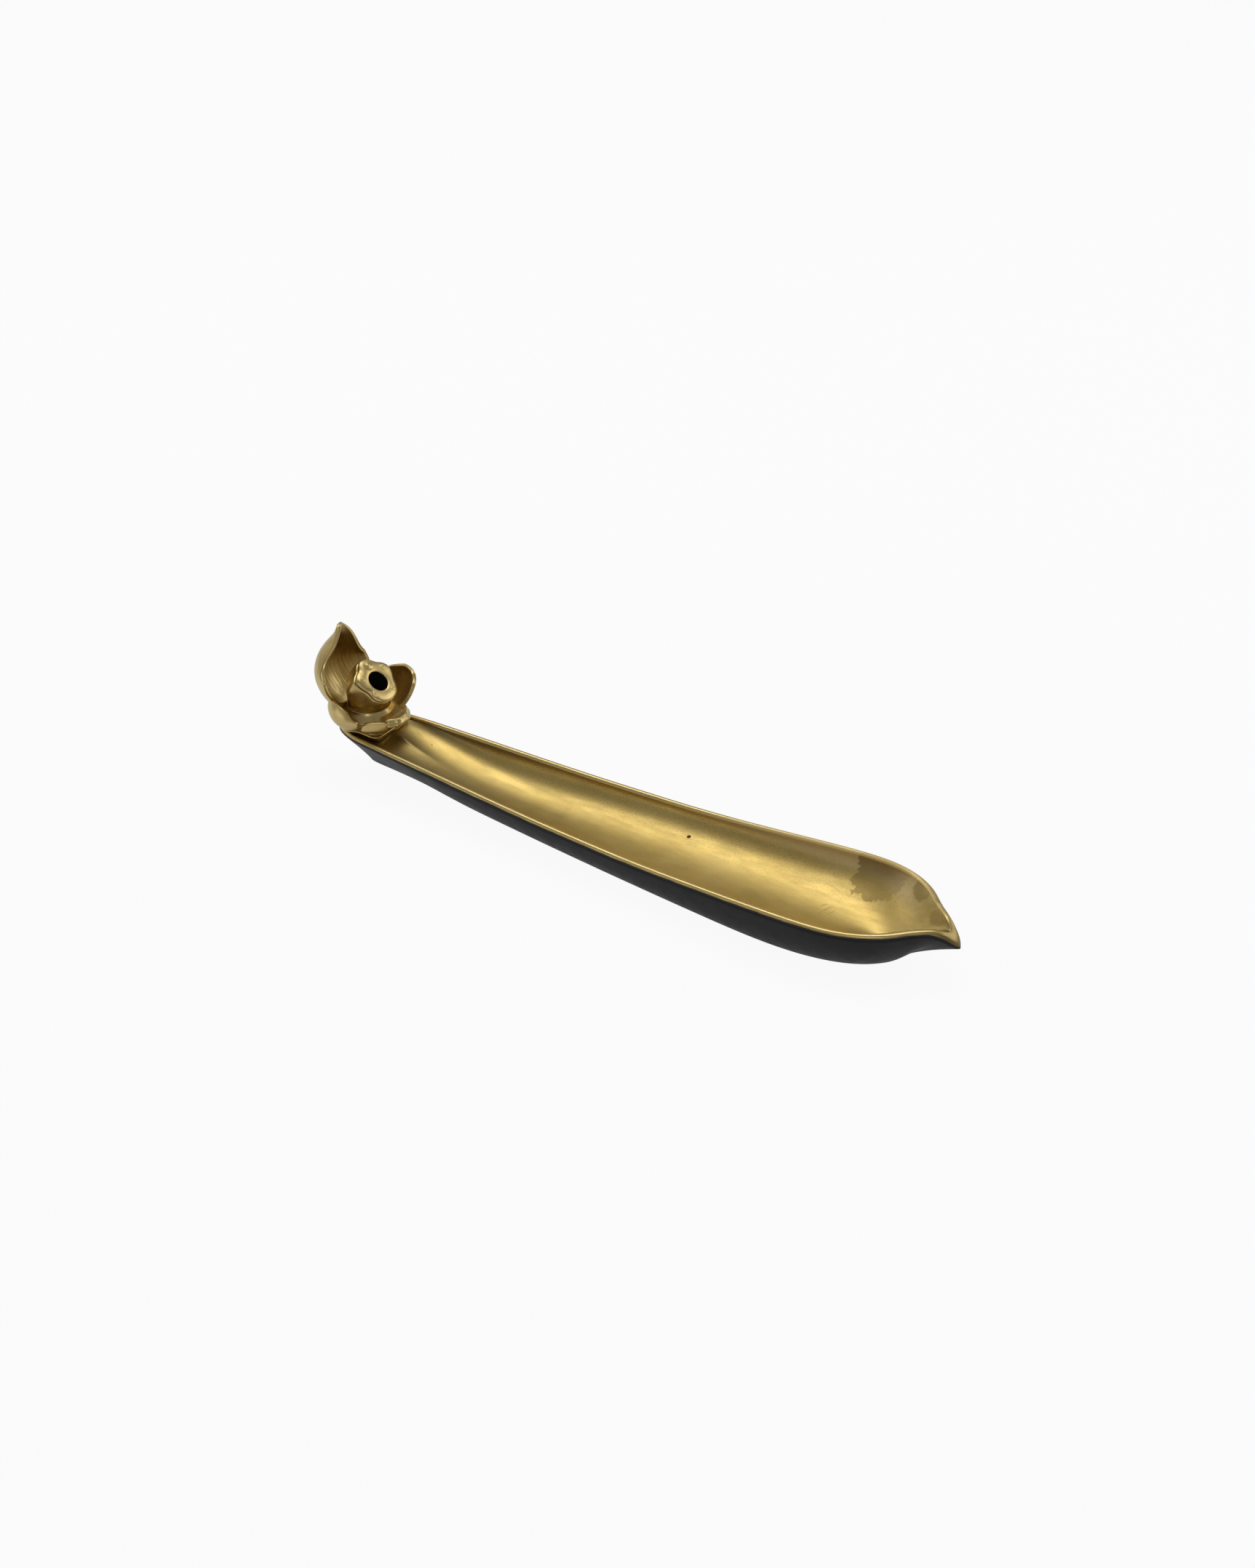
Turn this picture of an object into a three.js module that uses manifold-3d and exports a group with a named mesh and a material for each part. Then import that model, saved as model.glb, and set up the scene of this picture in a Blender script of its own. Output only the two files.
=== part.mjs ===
// Boat incense holder in glazed stoneware, in millimetres, +Z up.
// A long tray shaped like a boat or a curled leaf runs along X: the bow with its drooping tip points
// to +X, and an open lotus flower stands on the stern. The flower's seed pod leans over the trough
// and has the hole for the stick, so that the ash falls on the gold lining.
// The origin is on the ground under the middle of the whole length.

import * as THREE from "three";
import { mergeVertices } from "three/addons/utils/BufferGeometryUtils.js";
import Module from "manifold-3d";

const wasm = await Module();
wasm.setup();

// Tray outline, seen from above
const TRAY_LENGTH = 239.6; // stern to the end of the tip
const BEAM = 46.8; // across the widest place, near the bow
const BOW_REACH = 43.6; // from the widest place to the end of the tip
const STERN_WIDTH = 28.2; // across the place where the stern's round end begins
const STERN_REACH = 40; // from the stern to that place
const FLANK_SWELL = 0.5; // how far the long sides bow out between those two places

// Tray heights
const RIM_HEIGHT = 13.4; // lowest part of the rim, amidships
const BOW_SHEER = 4.8; // how much the rim climbs to the bow
const STERN_SHEER = 2.1; // how much the rim climbs to the stern
const TIP_DROOP = 5.6; // how far the tip curls down again
const TIP_DROOP_REACH = 9.5; // length of rim over which it does

// Tray wall
const BEAD_WIDTH = 2.6; // the rounded gold rim
const LIP_LENGTH = 5.6; // the solid lip at the tip, in place of the rim
const FLOOR_HEIGHT = 4.4; // lowest line of the trough above the ground
const FLOOR_STERN_HEIGHT = 11.9; // the same at its stern end, under the flower
const FLOOR_RISE_LENGTH = 32; // length over which the floor climbs to there
const TROUGH_STERN_END = 24; // the trough's lowest line stops this far from the stern
const TROUGH_BOW_END = 30; // and this far from the tip
const TROUGH_TIP_EASE = 2.4; // how gently the trough falls from the lip: 1 is a quarter ellipse
const FOOT_INSET = 5; // the foot's edge lies this far inside the rim along the flanks
const FOOT_INSET_STERN = 10.6; // this far where the stern's round end begins
const FOOT_INSET_SHOULDER = 11; // this far round the shoulders of the bow
const FOOT_INSET_TIP = 19.6; // and this far behind the tip
const FOOT_LEAST_WIDTH = 4.6; // the foot narrows to this under the stern
const FOOT_STERN_END = 13; // the foot's middle line stops this far from the stern
const FOOT_BOW_END = 39.6; // and this far from the tip
const FOOT_RIM = 2.6; // width of the unglazed ring that touches the ground
const FOOT_RECESS = 0.9; // depth of the hollow inside that ring
const WALL_BULGE = 0.5; // 0 is a straight wall from foot to rim, 1 is a quarter ellipse
const TIP_HOLLOW = 1; // the same share, for the hollow wall under the tip

// Gold lining, which laps over the rim
const LINING = 0.5; // thickness
const LINING_LAP = 0.6; // how far it hangs below the round of the rim on the outside
const SEAT = 0.3; // clearance between pieces that lie on each other
const EDGE_ROUND = 0.6; // how far a petal's rounded edge stands out, as a share of half its thickness

// Flower
const FLOWER_FROM_STERN = 12; // the flower's axis stands this far inside the stern
const PETAL_THICKNESS = 1.9;
const FRONT_PETAL_THICKNESS = 2.4; // the two pressed against the collar over the trough
const FOOT_BOTTOM = 9; // the clay lump under the flower, before it is cut to the trough
const FOOT_TOP = 18.1;
const FOOT_RADIUS = 9.2;
const SLIP_HEIGHT = 16; // height of the wavy edge of slip round the lump
const SLIP_ROLL = 1.4; // thickness of that edge
const COLLAR_CENTRE = -3.9; // the collar is set back from the flower's axis
const COLLAR_LENGTH = 16.4; // across its ridge, along the tray
const COLLAR_WIDTH = 16.4; // across its ridge, across the tray
const COLLAR_FOOT = 18.4; // height of its underside
const COLLAR_RIDGE = 23.6; // height of its ridge
const COLLAR_SKIRT = 2.4; // how far its foot spreads past the ridge
const COLLAR_ROLL = 1.1; // width of the ridge
const COLLAR_EDGE = 0.8; // thickness of its foot's edge
const COLLAR_WELL = 2.6; // depth of the well inside the ridge

// Seed pod
const POD_BASE = [-4.2, 20.8]; // centre of its lower end, from the flower's axis and above the ground
const POD_TOP = [2, 34]; // centre of its face
const POD_LEAN = 40; // tilt of the face from level, in degrees
const POD_BASE_RADIUS = 5.9;
const POD_WAIST_RADIUS = 7;
const POD_FACE_BEVEL = 0.6; // rounding of the face's edge
const POD_LIP_INSET = 0.2; // the lip under the face stays this far inside the face's edge
const POD_FACE_THICKNESS = 1.7;
const POD_SLIT = 0.9; // how far the face is undercut
const HOLE_OFFSET = 0.8; // from the middle of the face, downhill
const HOLE_RADIUS = 3.5; // at the mouth
const HOLE_END_RADIUS = 2.6;
const HOLE_DEPTH = 12;
const HOLE_LEAN = 34; // tilt of the hole from upright, in degrees
const HOLE_CHAMFER = 0.8; // at its blind end
const SEED_DEPTH = 0.9; // how far each seed is let into the face
const SEED_RISE = 0.5; // how far the upper seed stands out, and the others below
const LOW_SEED_RISE = 0.16;

// Fineness of the facets
const OUTLINE_STEPS = 3; // between two stations of the tray's outline
const TROUGH_STEPS = 5;
const BEAD_STEPS = 4;
const WALL_STEPS = 5;
const PETAL_ROWS = 8;
const PETAL_COLUMNS = 6;
const POD_SIDES = 40;
const COLLAR_SIDES = 32;
const SLIP_SIDES = 28;
const HOLE_SIDES = 28;
const SEED_SIDES = 16;

const STERN = -TRAY_LENGTH / 2;
const TIP = TRAY_LENGTH / 2;
const BEAD_RADIUS = BEAD_WIDTH / 2;
const FLOWER_X = STERN + FLOWER_FROM_STERN;

const lerp = THREE.MathUtils.lerp;
const smoothstep = THREE.MathUtils.smoothstep;
const radians = THREE.MathUtils.degToRad;

// Solids and booleans

function solidOf(geometry) {
  const bare = new THREE.BufferGeometry();
  bare.setAttribute("position", geometry.getAttribute("position"));
  bare.setIndex(geometry.getIndex());
  const merged = mergeVertices(bare, 1e-4);
  const index = merged.getIndex().array;
  const triVerts = [];
  for (let i = 0; i < index.length; i += 3) {
    const [a, b, c] = [index[i], index[i + 1], index[i + 2]];
    if (a !== b && b !== c && c !== a) {
      triVerts.push(a, b, c);
    }
  }
  return new wasm.Manifold(
    new wasm.Mesh({
      numProp: 3,
      vertProperties: merged.getAttribute("position").array,
      triVerts: new Uint32Array(triVerts),
    }),
  );
}

// The largest body of a solid, without the crumbs that a cut may leave
function largestBody(solid) {
  const bodies = solid.decompose();
  return bodies.reduce((best, body) => (body.volume() > best.volume() ? body : best));
}

function meshOf(name, solid, material) {
  const { numProp, vertProperties, triVerts } = solid.getMesh();
  const positions = new Float32Array((vertProperties.length / numProp) * 3);
  for (let v = 0; v < vertProperties.length / numProp; v++) {
    positions.set(vertProperties.subarray(v * numProp, v * numProp + 3), v * 3);
  }
  const geometry = new THREE.BufferGeometry();
  geometry.setAttribute("position", new THREE.BufferAttribute(positions, 3));
  geometry.setIndex(new THREE.BufferAttribute(new Uint32Array(triVerts), 1));
  geometry.computeVertexNormals();
  const mesh = new THREE.Mesh(geometry, material);
  mesh.name = name;
  return mesh;
}

// A closed skin through loops of equal length. Each loop runs anticlockwise as seen from the last
// one. Point i of a loop mirrors point length - i, so each end is closed by a ladder between them.
function loft(loops) {
  const count = loops[0].length;
  const positions = loops.flat().flatMap((point) => [point.x, point.y, point.z]);
  const index = [];
  for (let k = 0; k + 1 < loops.length; k++) {
    for (let i = 0; i < count; i++) {
      const a = k * count + i;
      const b = k * count + ((i + 1) % count);
      index.push(a, b, b + count, a, b + count, a + count);
    }
  }
  const last = (loops.length - 1) * count;
  for (let i = 0; i < count / 2; i++) {
    const mirror = (count - i) % count;
    const next = count - i - 1;
    index.push(i, next, i + 1, i, mirror, next);
    index.push(last + i, last + i + 1, last + next, last + i, last + next, last + mirror);
  }
  const geometry = new THREE.BufferGeometry();
  geometry.setAttribute("position", new THREE.Float32BufferAttribute(positions, 3));
  geometry.setIndex(index);
  return solidOf(geometry);
}

// Tray

// Half of the rim's outline from stern to tip: [distance from the stern, share of the stern's half
// width], then the long flank, then [distance from the tip, share of the half beam].
const sternShape = [
  [0, 0],
  [0.035, 0.36],
  [0.2, 0.7],
  [0.5, 0.875],
  [1, 1],
];
const bowShape = [
  [1, 1],
  [0.75, 0.955],
  [0.565, 0.842],
  [0.405, 0.66],
  [0.28, 0.43],
  [0.188, 0.28],
  [0.098, 0.172],
  [0.024, 0.08],
  [0, 0],
];
const flankShares = [0.33, 0.67];

function outlineStations() {
  const stern = sternShape.map(
    ([along, across]) =>
      new THREE.Vector3(STERN + along * STERN_REACH, (-across * STERN_WIDTH) / 2, 0),
  );
  const bow = bowShape.map(
    ([along, across]) => new THREE.Vector3(TIP - along * BOW_REACH, (-across * BEAM) / 2, 0),
  );
  const flank = flankShares.map((share) => {
    const point = stern.at(-1).clone().lerp(bow[0], share);
    point.y -= FLANK_SWELL * Math.sin(Math.PI * share);
    return point;
  });
  return [...stern, ...flank, ...bow];
}

function rimHeight(x) {
  const bow = BOW_SHEER * smoothstep(x, STERN + TRAY_LENGTH / 2, TIP - TIP_DROOP_REACH);
  const stern = STERN_SHEER * smoothstep(-x, TRAY_LENGTH / 16, -STERN - TIP_DROOP_REACH);
  const droop = Math.max(0, (x - TIP + TIP_DROOP_REACH) / TIP_DROOP_REACH);
  return RIM_HEIGHT + bow + stern - TIP_DROOP * droop ** 2;
}

// How near a place is to the tip: 0 along the tray, 1 at the end of the tip
function tipShare(x) {
  return smoothstep(x, TIP - BOW_REACH / 3, TIP);
}

// 0 along the flanks, 1 from the shoulders of the bow onwards
function shoulderShare(x) {
  return smoothstep(x, TIP - 1.4 * BOW_REACH, TIP - BOW_REACH / 3);
}

const stations = outlineStations();
const outlineCurve = new THREE.CatmullRomCurve3(stations, false, "centripetal");
const halfOutline = outlineCurve.getPoints(OUTLINE_STEPS * (stations.length - 1));
const outline = [
  ...halfOutline,
  ...halfOutline
    .slice(1, -1)
    .reverse()
    .map((point) => new THREE.Vector3(point.x, -point.y, 0)),
];

// Height of the trough's lowest line
function floorHeight(x) {
  const start = STERN + TROUGH_STERN_END + FLOOR_RISE_LENGTH;
  const share = Math.max(0, (start - x) / FLOOR_RISE_LENGTH);
  return FLOOR_HEIGHT + (FLOOR_STERN_HEIGHT - FLOOR_HEIGHT) * share ** 2;
}

// The nearest place on the tray's middle line between two ends
function spineFoot(point, fromStern, fromTip) {
  const x = THREE.MathUtils.clamp(point.x, STERN + fromStern, TIP - fromTip);
  return new THREE.Vector3(x, 0, 0);
}

// A point of the outline, moved towards the middle line
function inset(point, distance) {
  const foot = spineFoot(point, TROUGH_STERN_END, TROUGH_BOW_END);
  const inwards = foot.sub(point);
  return point.clone().addScaledVector(inwards.normalize(), distance);
}

function loopAt(place) {
  return outline.map(place);
}

// Full width of the rim, which grows into the lip at the tip
function rimWidth(x) {
  return lerp(BEAD_WIDTH, LIP_LENGTH, tipShare(x));
}

// Loop on the round of the rim, at an angle from its inner side (pi) to its outer side (0), and at
// a depth under its surface
function beadLoop(angle, depth) {
  return loopAt((point) => {
    const width = rimWidth(point.x);
    const across = width / 2 - (width / 2 - depth) * Math.cos(angle);
    const placed = inset(point, across);
    placed.z = rimHeight(point.x) - BEAD_RADIUS + (BEAD_RADIUS - depth) * Math.sin(angle);
    return placed;
  });
}

// Loop on the trough's wall, from the rim (0) to the lowest line (pi / 2)
function troughLoop(angle, depth) {
  return loopAt((point) => {
    const top = inset(point, rimWidth(point.x) - depth);
    const foot = spineFoot(point, TROUGH_STERN_END, TROUGH_BOW_END);
    const topHeight = rimHeight(point.x) - BEAD_RADIUS;
    const placed = top.lerp(foot, 1 - Math.cos(angle));
    const ease = lerp(1, TROUGH_TIP_EASE, tipShare(point.x));
    placed.z = lerp(topHeight, floorHeight(foot.x) - depth, Math.sin(angle) ** ease);
    return placed;
  });
}

function beadLoops(depth) {
  return Array.from({ length: BEAD_STEPS + 1 }, (_, i) =>
    beadLoop((Math.PI * i) / BEAD_STEPS, depth),
  );
}

function troughLoops(depth) {
  return Array.from({ length: TROUGH_STEPS }, (_, i) =>
    troughLoop((Math.PI * (i + 1)) / (2 * TROUGH_STEPS), depth),
  );
}

// Loop of the straight part under the round of the rim
function lapLoop(drop, depth) {
  return loopAt((point) => {
    const placed = inset(point, depth);
    placed.z = rimHeight(point.x) - BEAD_RADIUS - drop;
    return placed;
  });
}

function footPoint(point, extra) {
  const aft = Math.max(0, (TIP - BOW_REACH - point.x) / (TRAY_LENGTH - BOW_REACH - STERN_REACH));
  const flank = FOOT_INSET + (FOOT_INSET_STERN - FOOT_INSET) * aft ** 2;
  const shoulder = (FOOT_INSET_SHOULDER - FOOT_INSET) * shoulderShare(point.x);
  const tip = (FOOT_INSET_TIP - FOOT_INSET_SHOULDER) * tipShare(point.x);
  const foot = spineFoot(point, FOOT_STERN_END, FOOT_BOW_END);
  const reach = point.distanceTo(foot);
  const distance = Math.min(reach - FOOT_LEAST_WIDTH / 2, flank + shoulder + tip);
  return point.clone().lerp(foot, Math.min(distance + extra, reach - FOOT_LEAST_WIDTH / 8) / reach);
}

function footLoop(height, extra) {
  return loopAt((point) => {
    const placed = footPoint(point, extra);
    placed.z = height;
    return placed;
  });
}

// Outer wall, from the foot (0) to the lining's edge (1)
function wallLoop(share) {
  return loopAt((point) => {
    const stern = smoothstep(-point.x, -STERN - 1.6 * STERN_REACH, -STERN - STERN_REACH / 3);
    const flank = WALL_BULGE * (1 - shoulderShare(point.x)) * (1 - stern);
    const bulge = lerp(flank, -TIP_HOLLOW, tipShare(point.x));
    const out = lerp(share, Math.sin((share * Math.PI) / 2), bulge);
    const up = lerp(share, 1 - Math.cos((share * Math.PI) / 2), bulge);
    const placed = footPoint(point, 0).lerp(point, out);
    placed.z = up * (rimHeight(point.x) - BEAD_RADIUS - LINING_LAP - SEAT);
    return placed;
  });
}

function hullSolid() {
  const middle = loopAt((point) => {
    const placed = spineFoot(point, FOOT_STERN_END, FOOT_BOW_END);
    placed.z = FOOT_RECESS;
    return placed;
  });
  const wall = Array.from({ length: WALL_STEPS + 1 }, (_, i) => wallLoop(i / WALL_STEPS));
  const core = LINING + SEAT;
  return loft([
    middle,
    footLoop(FOOT_RECESS, FOOT_RIM),
    footLoop(0, FOOT_RIM),
    ...wall,
    lapLoop(LINING_LAP + SEAT, core),
    ...beadLoops(core),
    ...troughLoops(core),
  ]);
}

function liningSolid() {
  return loft([
    ...troughLoops(LINING).reverse(),
    ...beadLoops(LINING).reverse(),
    lapLoop(LINING_LAP, LINING),
    lapLoop(LINING_LAP, 0),
    ...beadLoops(0),
    ...troughLoops(0),
  ]);
}

// All that the tray takes up above its floor, enlarged by the seat, to cut what stands on it
function trayCutter() {
  const skirt = loopAt((point) => inset(point, -SEAT));
  return loft([skirt, lapLoop(0, -SEAT), ...beadLoops(-SEAT), ...troughLoops(-SEAT)]);
}

// Flower

// Places in the flower are given as a distance from its axis towards an azimuth, and a height. The
// azimuth is 0 towards the bow and 180 towards the stern.
const flowerAxis = new THREE.Vector3(FLOWER_X, 0, 0);
const UP = new THREE.Vector3(0, 0, 1);

function valueAlong(values, share) {
  const points = values.map((value, i) => new THREE.Vector2(i, value));
  return new THREE.SplineCurve(points).getPoint(share).y;
}

// A cupped petal: a crescent section carried along a curved middle line from its root to its tip.
//   spine: [distance from the axis, height] from root to tip
//   cup: radius of the crescent, root to tip
//   left, right: width on each side of the middle line, as seen from the flower's middle
//   skew: how far the tip is pulled round the flower
function petalSolid({ azimuth, spine, cup, left, right, skew, thickness }, grow = 0) {
  const out = new THREE.Vector3(Math.cos(radians(azimuth)), Math.sin(radians(azimuth)), 0);
  const side = UP.clone().cross(out);
  const curve = new THREE.SplineCurve(spine.map(([reach, height]) => new THREE.Vector2(reach, height)));
  const half = thickness / 2 + grow;
  const loops = [];
  for (let row = 0; row <= PETAL_ROWS; row++) {
    const share = row / PETAL_ROWS;
    const middle = curve.getPoint(share);
    const along = curve.getTangent(share);
    const end = row === 0 ? -grow : row === PETAL_ROWS ? grow : 0;
    const centre = flowerAxis
      .clone()
      .addScaledVector(out, middle.x + end * along.x)
      .addScaledVector(UP, middle.y + end * along.y)
      .addScaledVector(side, skew * share ** 2);
    const inwards = out.clone().multiplyScalar(-along.y).addScaledVector(UP, along.x);
    const radius = valueAlong(cup, share);
    const place = (angle, depth) =>
      centre
        .clone()
        .addScaledVector(side, (radius + depth) * Math.sin(angle))
        .addScaledVector(inwards, radius - (radius + depth) * Math.cos(angle));
    const start = -Math.asin(valueAlong(left, share) / radius) - grow / radius;
    const stop = Math.asin(valueAlong(right, share) / radius) + grow / radius;
    const edge = (EDGE_ROUND * half) / radius;
    const across = Array.from({ length: PETAL_COLUMNS + 1 }, (_, i) =>
      lerp(start, stop, i / PETAL_COLUMNS),
    );
    loops.push([
      place(start - edge, 0),
      ...across.map((angle) => place(angle, half)),
      place(stop + edge, 0),
      ...across.reverse().map((angle) => place(angle, -half)),
    ]);
  }
  return loft(loops);
}

const petals = {
  back_petal: {
    azimuth: 184,
    spine: [[9.6, 20], [13, 21.3], [17.4, 25.6], [20.7, 33.5], [18.9, 41.2], [14.4, 46.9], [12.7, 51.1]],
    cup: [9, 10.6, 12.4, 12.9, 10.7, 6.8, 4.6],
    left: [6.6, 9.4, 11.8, 11.9, 9.8, 5.2, 0.5],
    right: [6.6, 9.4, 11.7, 12.4, 9.9, 4.2, 0.9],
    skew: -1.1,
    thickness: PETAL_THICKNESS,
  },
  far_petal: {
    azimuth: 64,
    spine: [[4, 18.6], [8.2, 21.2], [12.1, 25.8], [14, 31.2], [13.4, 34.4]],
    cup: [8.3, 9, 9.4, 9.6, 9],
    left: [3.7, 6.7, 8.9, 8.4, 5.4],
    right: [4.3, 6.9, 8.1, 6.9, 2.8],
    skew: -1.6,
    thickness: PETAL_THICKNESS,
  },
  near_petal: {
    azimuth: -115,
    spine: [[4, 17.4], [9.4, 17.9], [13.2, 19.8], [14.9, 23.4], [13.8, 27.6]],
    cup: [9, 10, 11, 11.4, 12],
    left: [4.4, 6.4, 7.8, 7.8, 5.8],
    right: [4.2, 6.4, 7.4, 6.8, 3.6],
    skew: -2.6,
    thickness: PETAL_THICKNESS,
  },
  far_rear_petal: {
    azimuth: 126,
    spine: [[4, 17.4], [9.4, 17.9], [13.2, 19.8], [14.9, 23.4], [13.8, 27.6]],
    cup: [9, 10, 11, 11.4, 12],
    left: [4.2, 6.4, 7.4, 6.8, 4],
    right: [4.4, 6.4, 7.8, 7.6, 5.4],
    skew: 1,
    thickness: PETAL_THICKNESS,
  },
  front_petal: {
    azimuth: 4,
    spine: [[4.6, 20.6], [8.3, 20.3], [11.4, 20.8], [13.4, 22.4]],
    cup: [14, 14, 13, 12],
    left: [4, 5.6, 5.8, 2.6],
    right: [4.6, 6.6, 6, 2],
    skew: -1,
    thickness: FRONT_PETAL_THICKNESS,
  },
  front_near_petal: {
    azimuth: -52,
    spine: [[4, 17], [7.4, 17.1], [10.4, 18.2], [11.4, 20.8]],
    cup: [8.7, 9.4, 10.4, 13.1],
    left: [4.2, 5.3, 6, 5.1],
    right: [4, 4.5, 5.4, 3.7],
    skew: 1.4,
    thickness: FRONT_PETAL_THICKNESS,
  },
};

// A closed smooth line through points given as [angle in degrees, radius]
function roundedLoop(points, sides) {
  const corners = points.map(([angle, radius]) => {
    const turn = radians(angle);
    return new THREE.Vector3(radius * Math.cos(turn), radius * Math.sin(turn), 0);
  });
  return new THREE.CatmullRomCurve3(corners, true, "centripetal").getPoints(sides).slice(0, -1);
}

// Pod: its scalloped outline, with the angle counted from its downhill side towards +Y
const podOutline = roundedLoop(
  [
    [0, 8.1],
    [25, 8.6],
    [51, 7.2],
    [72, 6.5],
    [108, 8.4],
    [144, 6.8],
    [180, 8.7],
    [218, 7.3],
    [263, 8.9],
    [292, 8.2],
    [322, 9.1],
  ],
  POD_SIDES,
);
const podTilt = radians(POD_LEAN);
const podNormal = new THREE.Vector3(Math.sin(podTilt), 0, Math.cos(podTilt));
const podFaceCentre = new THREE.Vector3(FLOWER_X + POD_TOP[0], 0, POD_TOP[1]);

// Section of the pod: between a circle (0) and the scalloped outline (1)
function podRing(centre, tilt, radius, scallop, margin) {
  const downhill = new THREE.Vector3(Math.cos(tilt), 0, -Math.sin(tilt));
  return podOutline.map((corner) => {
    const full = corner.length();
    const reach = lerp(radius, full, scallop) + margin;
    return centre
      .clone()
      .addScaledVector(downhill, (corner.x / full) * reach)
      .addScaledVector(new THREE.Vector3(0, 1, 0), (corner.y / full) * reach);
  });
}

function podBodySolid(grow = 0) {
  const base = new THREE.Vector3(FLOWER_X + POD_BASE[0], 0, POD_BASE[1]);
  const lip = podFaceCentre.clone().addScaledVector(podNormal, -POD_FACE_THICKNESS - SEAT);
  const knee = lip.clone().addScaledVector(podNormal, -0.45 * lip.distanceTo(base));
  const middleLine = new THREE.QuadraticBezierCurve3(base, knee, lip);
  const profile = [
    { share: 0, radius: POD_BASE_RADIUS, scallop: 0 },
    { share: 0.2, radius: POD_WAIST_RADIUS - 0.3, scallop: 0.1 },
    { share: 0.5, radius: POD_WAIST_RADIUS, scallop: 0.4 },
    { share: 0.75, radius: POD_WAIST_RADIUS, scallop: 0.8 },
    { share: 0.92, radius: POD_WAIST_RADIUS, scallop: 1 },
    { share: 1, radius: POD_WAIST_RADIUS, scallop: 1 },
  ];
  return loft(
    profile.map(({ share, radius, scallop }) => {
      const centre = middleLine.getPoint(share);
      if (share === 0) {
        centre.z -= grow;
      }
      const margin = grow - POD_LIP_INSET * scallop;
      return podRing(centre, share * podTilt, radius, scallop, margin);
    }),
  );
}

function podFaceSolid() {
  const section = (depth, margin) => {
    const centre = podFaceCentre.clone().addScaledVector(podNormal, -depth * POD_FACE_THICKNESS);
    return podRing(centre, podTilt, 0, 1, margin);
  };
  return loft([
    section(1, -POD_SLIT),
    section(0.55, 0),
    section(0.25, 0),
    section(0, -POD_FACE_BEVEL),
  ]);
}

function turned(profile, sides) {
  const points = profile.map(([radius, height]) => new THREE.Vector2(radius, height));
  return new THREE.LatheGeometry(points, sides).rotateX(Math.PI / 2);
}

// Set a shape, drawn at the origin and upright, on the pod's face
function placeOnFace(geometry, downhill, across, lean) {
  return geometry
    .rotateY(lean)
    .translate(downhill * Math.cos(podTilt), across, -downhill * Math.sin(podTilt))
    .translate(podFaceCentre.x, podFaceCentre.y, podFaceCentre.z);
}

// The hole for the stick, tapering from its mouth to a blind end
function holeSolid() {
  const above = HOLE_RADIUS;
  const mouth = HOLE_RADIUS + ((HOLE_RADIUS - HOLE_END_RADIUS) * above) / HOLE_DEPTH;
  const geometry = turned(
    [
      [0, -HOLE_DEPTH],
      [HOLE_END_RADIUS - HOLE_CHAMFER, -HOLE_DEPTH],
      [HOLE_END_RADIUS, -HOLE_DEPTH + HOLE_CHAMFER],
      [mouth, above],
      [0, above],
    ],
    HOLE_SIDES,
  );
  return solidOf(placeOnFace(geometry, HOLE_OFFSET, 0, radians(HOLE_LEAN)));
}

// The seeds let into the pod's face: place downhill and across from its middle, radius and rise
const seeds = [
  { downhill: -5.6, across: 0.6, radius: 1.9, rise: SEED_RISE },
  { downhill: -2.2, across: 5.5, radius: 1.4, rise: LOW_SEED_RISE },
  { downhill: 5.7, across: 3, radius: 1.1, rise: LOW_SEED_RISE },
  { downhill: 3.9, across: -4.8, radius: 1.5, rise: LOW_SEED_RISE },
  { downhill: -2.4, across: -5.2, radius: 1.4, rise: LOW_SEED_RISE },
];

// A seed: a ring, a groove and a small dome
function seedSolid({ downhill, across, radius, rise }) {
  const geometry = turned(
    [
      [0, -SEED_DEPTH],
      [radius, -SEED_DEPTH],
      [radius, 0.4 * rise],
      [0.8 * radius, rise],
      [0.62 * radius, 0.4 * rise],
      [0.4 * radius, 0.9 * rise],
      [0, 1.1 * rise],
    ],
    SEED_SIDES,
  );
  return solidOf(placeOnFace(geometry, downhill, across, podTilt));
}

// The pocket in the face that the seed sits in
function seedPocket({ downhill, across, radius }) {
  const geometry = turned(
    [
      [0, -SEED_DEPTH - SEAT],
      [radius + SEAT, -SEED_DEPTH - SEAT],
      [radius + SEAT, SEED_DEPTH],
      [0, SEED_DEPTH],
    ],
    SEED_SIDES,
  );
  return solidOf(placeOnFace(geometry, downhill, across, podTilt));
}

// The collar round the pod's foot: an oval dish with a rounded ridge
function collarSolid(grow = 0) {
  const ridge = COLLAR_WIDTH / 2;
  const inner = ridge - COLLAR_ROLL;
  const foot = ridge + COLLAR_SKIRT + grow;
  const top = COLLAR_RIDGE + grow;
  const profile = [
    [0, COLLAR_FOOT - grow],
    [foot, COLLAR_FOOT - grow],
    [foot, COLLAR_FOOT + COLLAR_EDGE + grow],
    [ridge + COLLAR_ROLL + grow, top - 1.5 * COLLAR_ROLL],
    [ridge + grow, top - 0.3 * COLLAR_ROLL],
    [ridge - COLLAR_ROLL / 2, top],
    [inner, top - 0.5 * COLLAR_ROLL],
    [inner - 0.3 * COLLAR_ROLL, top - 0.8 * COLLAR_WELL],
    [0, top - COLLAR_WELL],
  ];
  const geometry = turned(profile, COLLAR_SIDES);
  geometry.scale(COLLAR_LENGTH / COLLAR_WIDTH, 1, 1).translate(FLOWER_X + COLLAR_CENTRE, 0, 0);
  return solidOf(geometry);
}

// The lump of clay that carries the flower, with the wavy edge of slip round it
const slipOutline = roundedLoop(
  [
    [-50, 11.2],
    [-24, 9],
    [2, 8.3],
    [28, 10],
    [55, 12],
    [98, 9.2],
    [140, 11],
    [180, 10.6],
    [222, 12],
    [245, 11.2],
    [266, 9],
  ],
  SLIP_SIDES,
);

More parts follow.
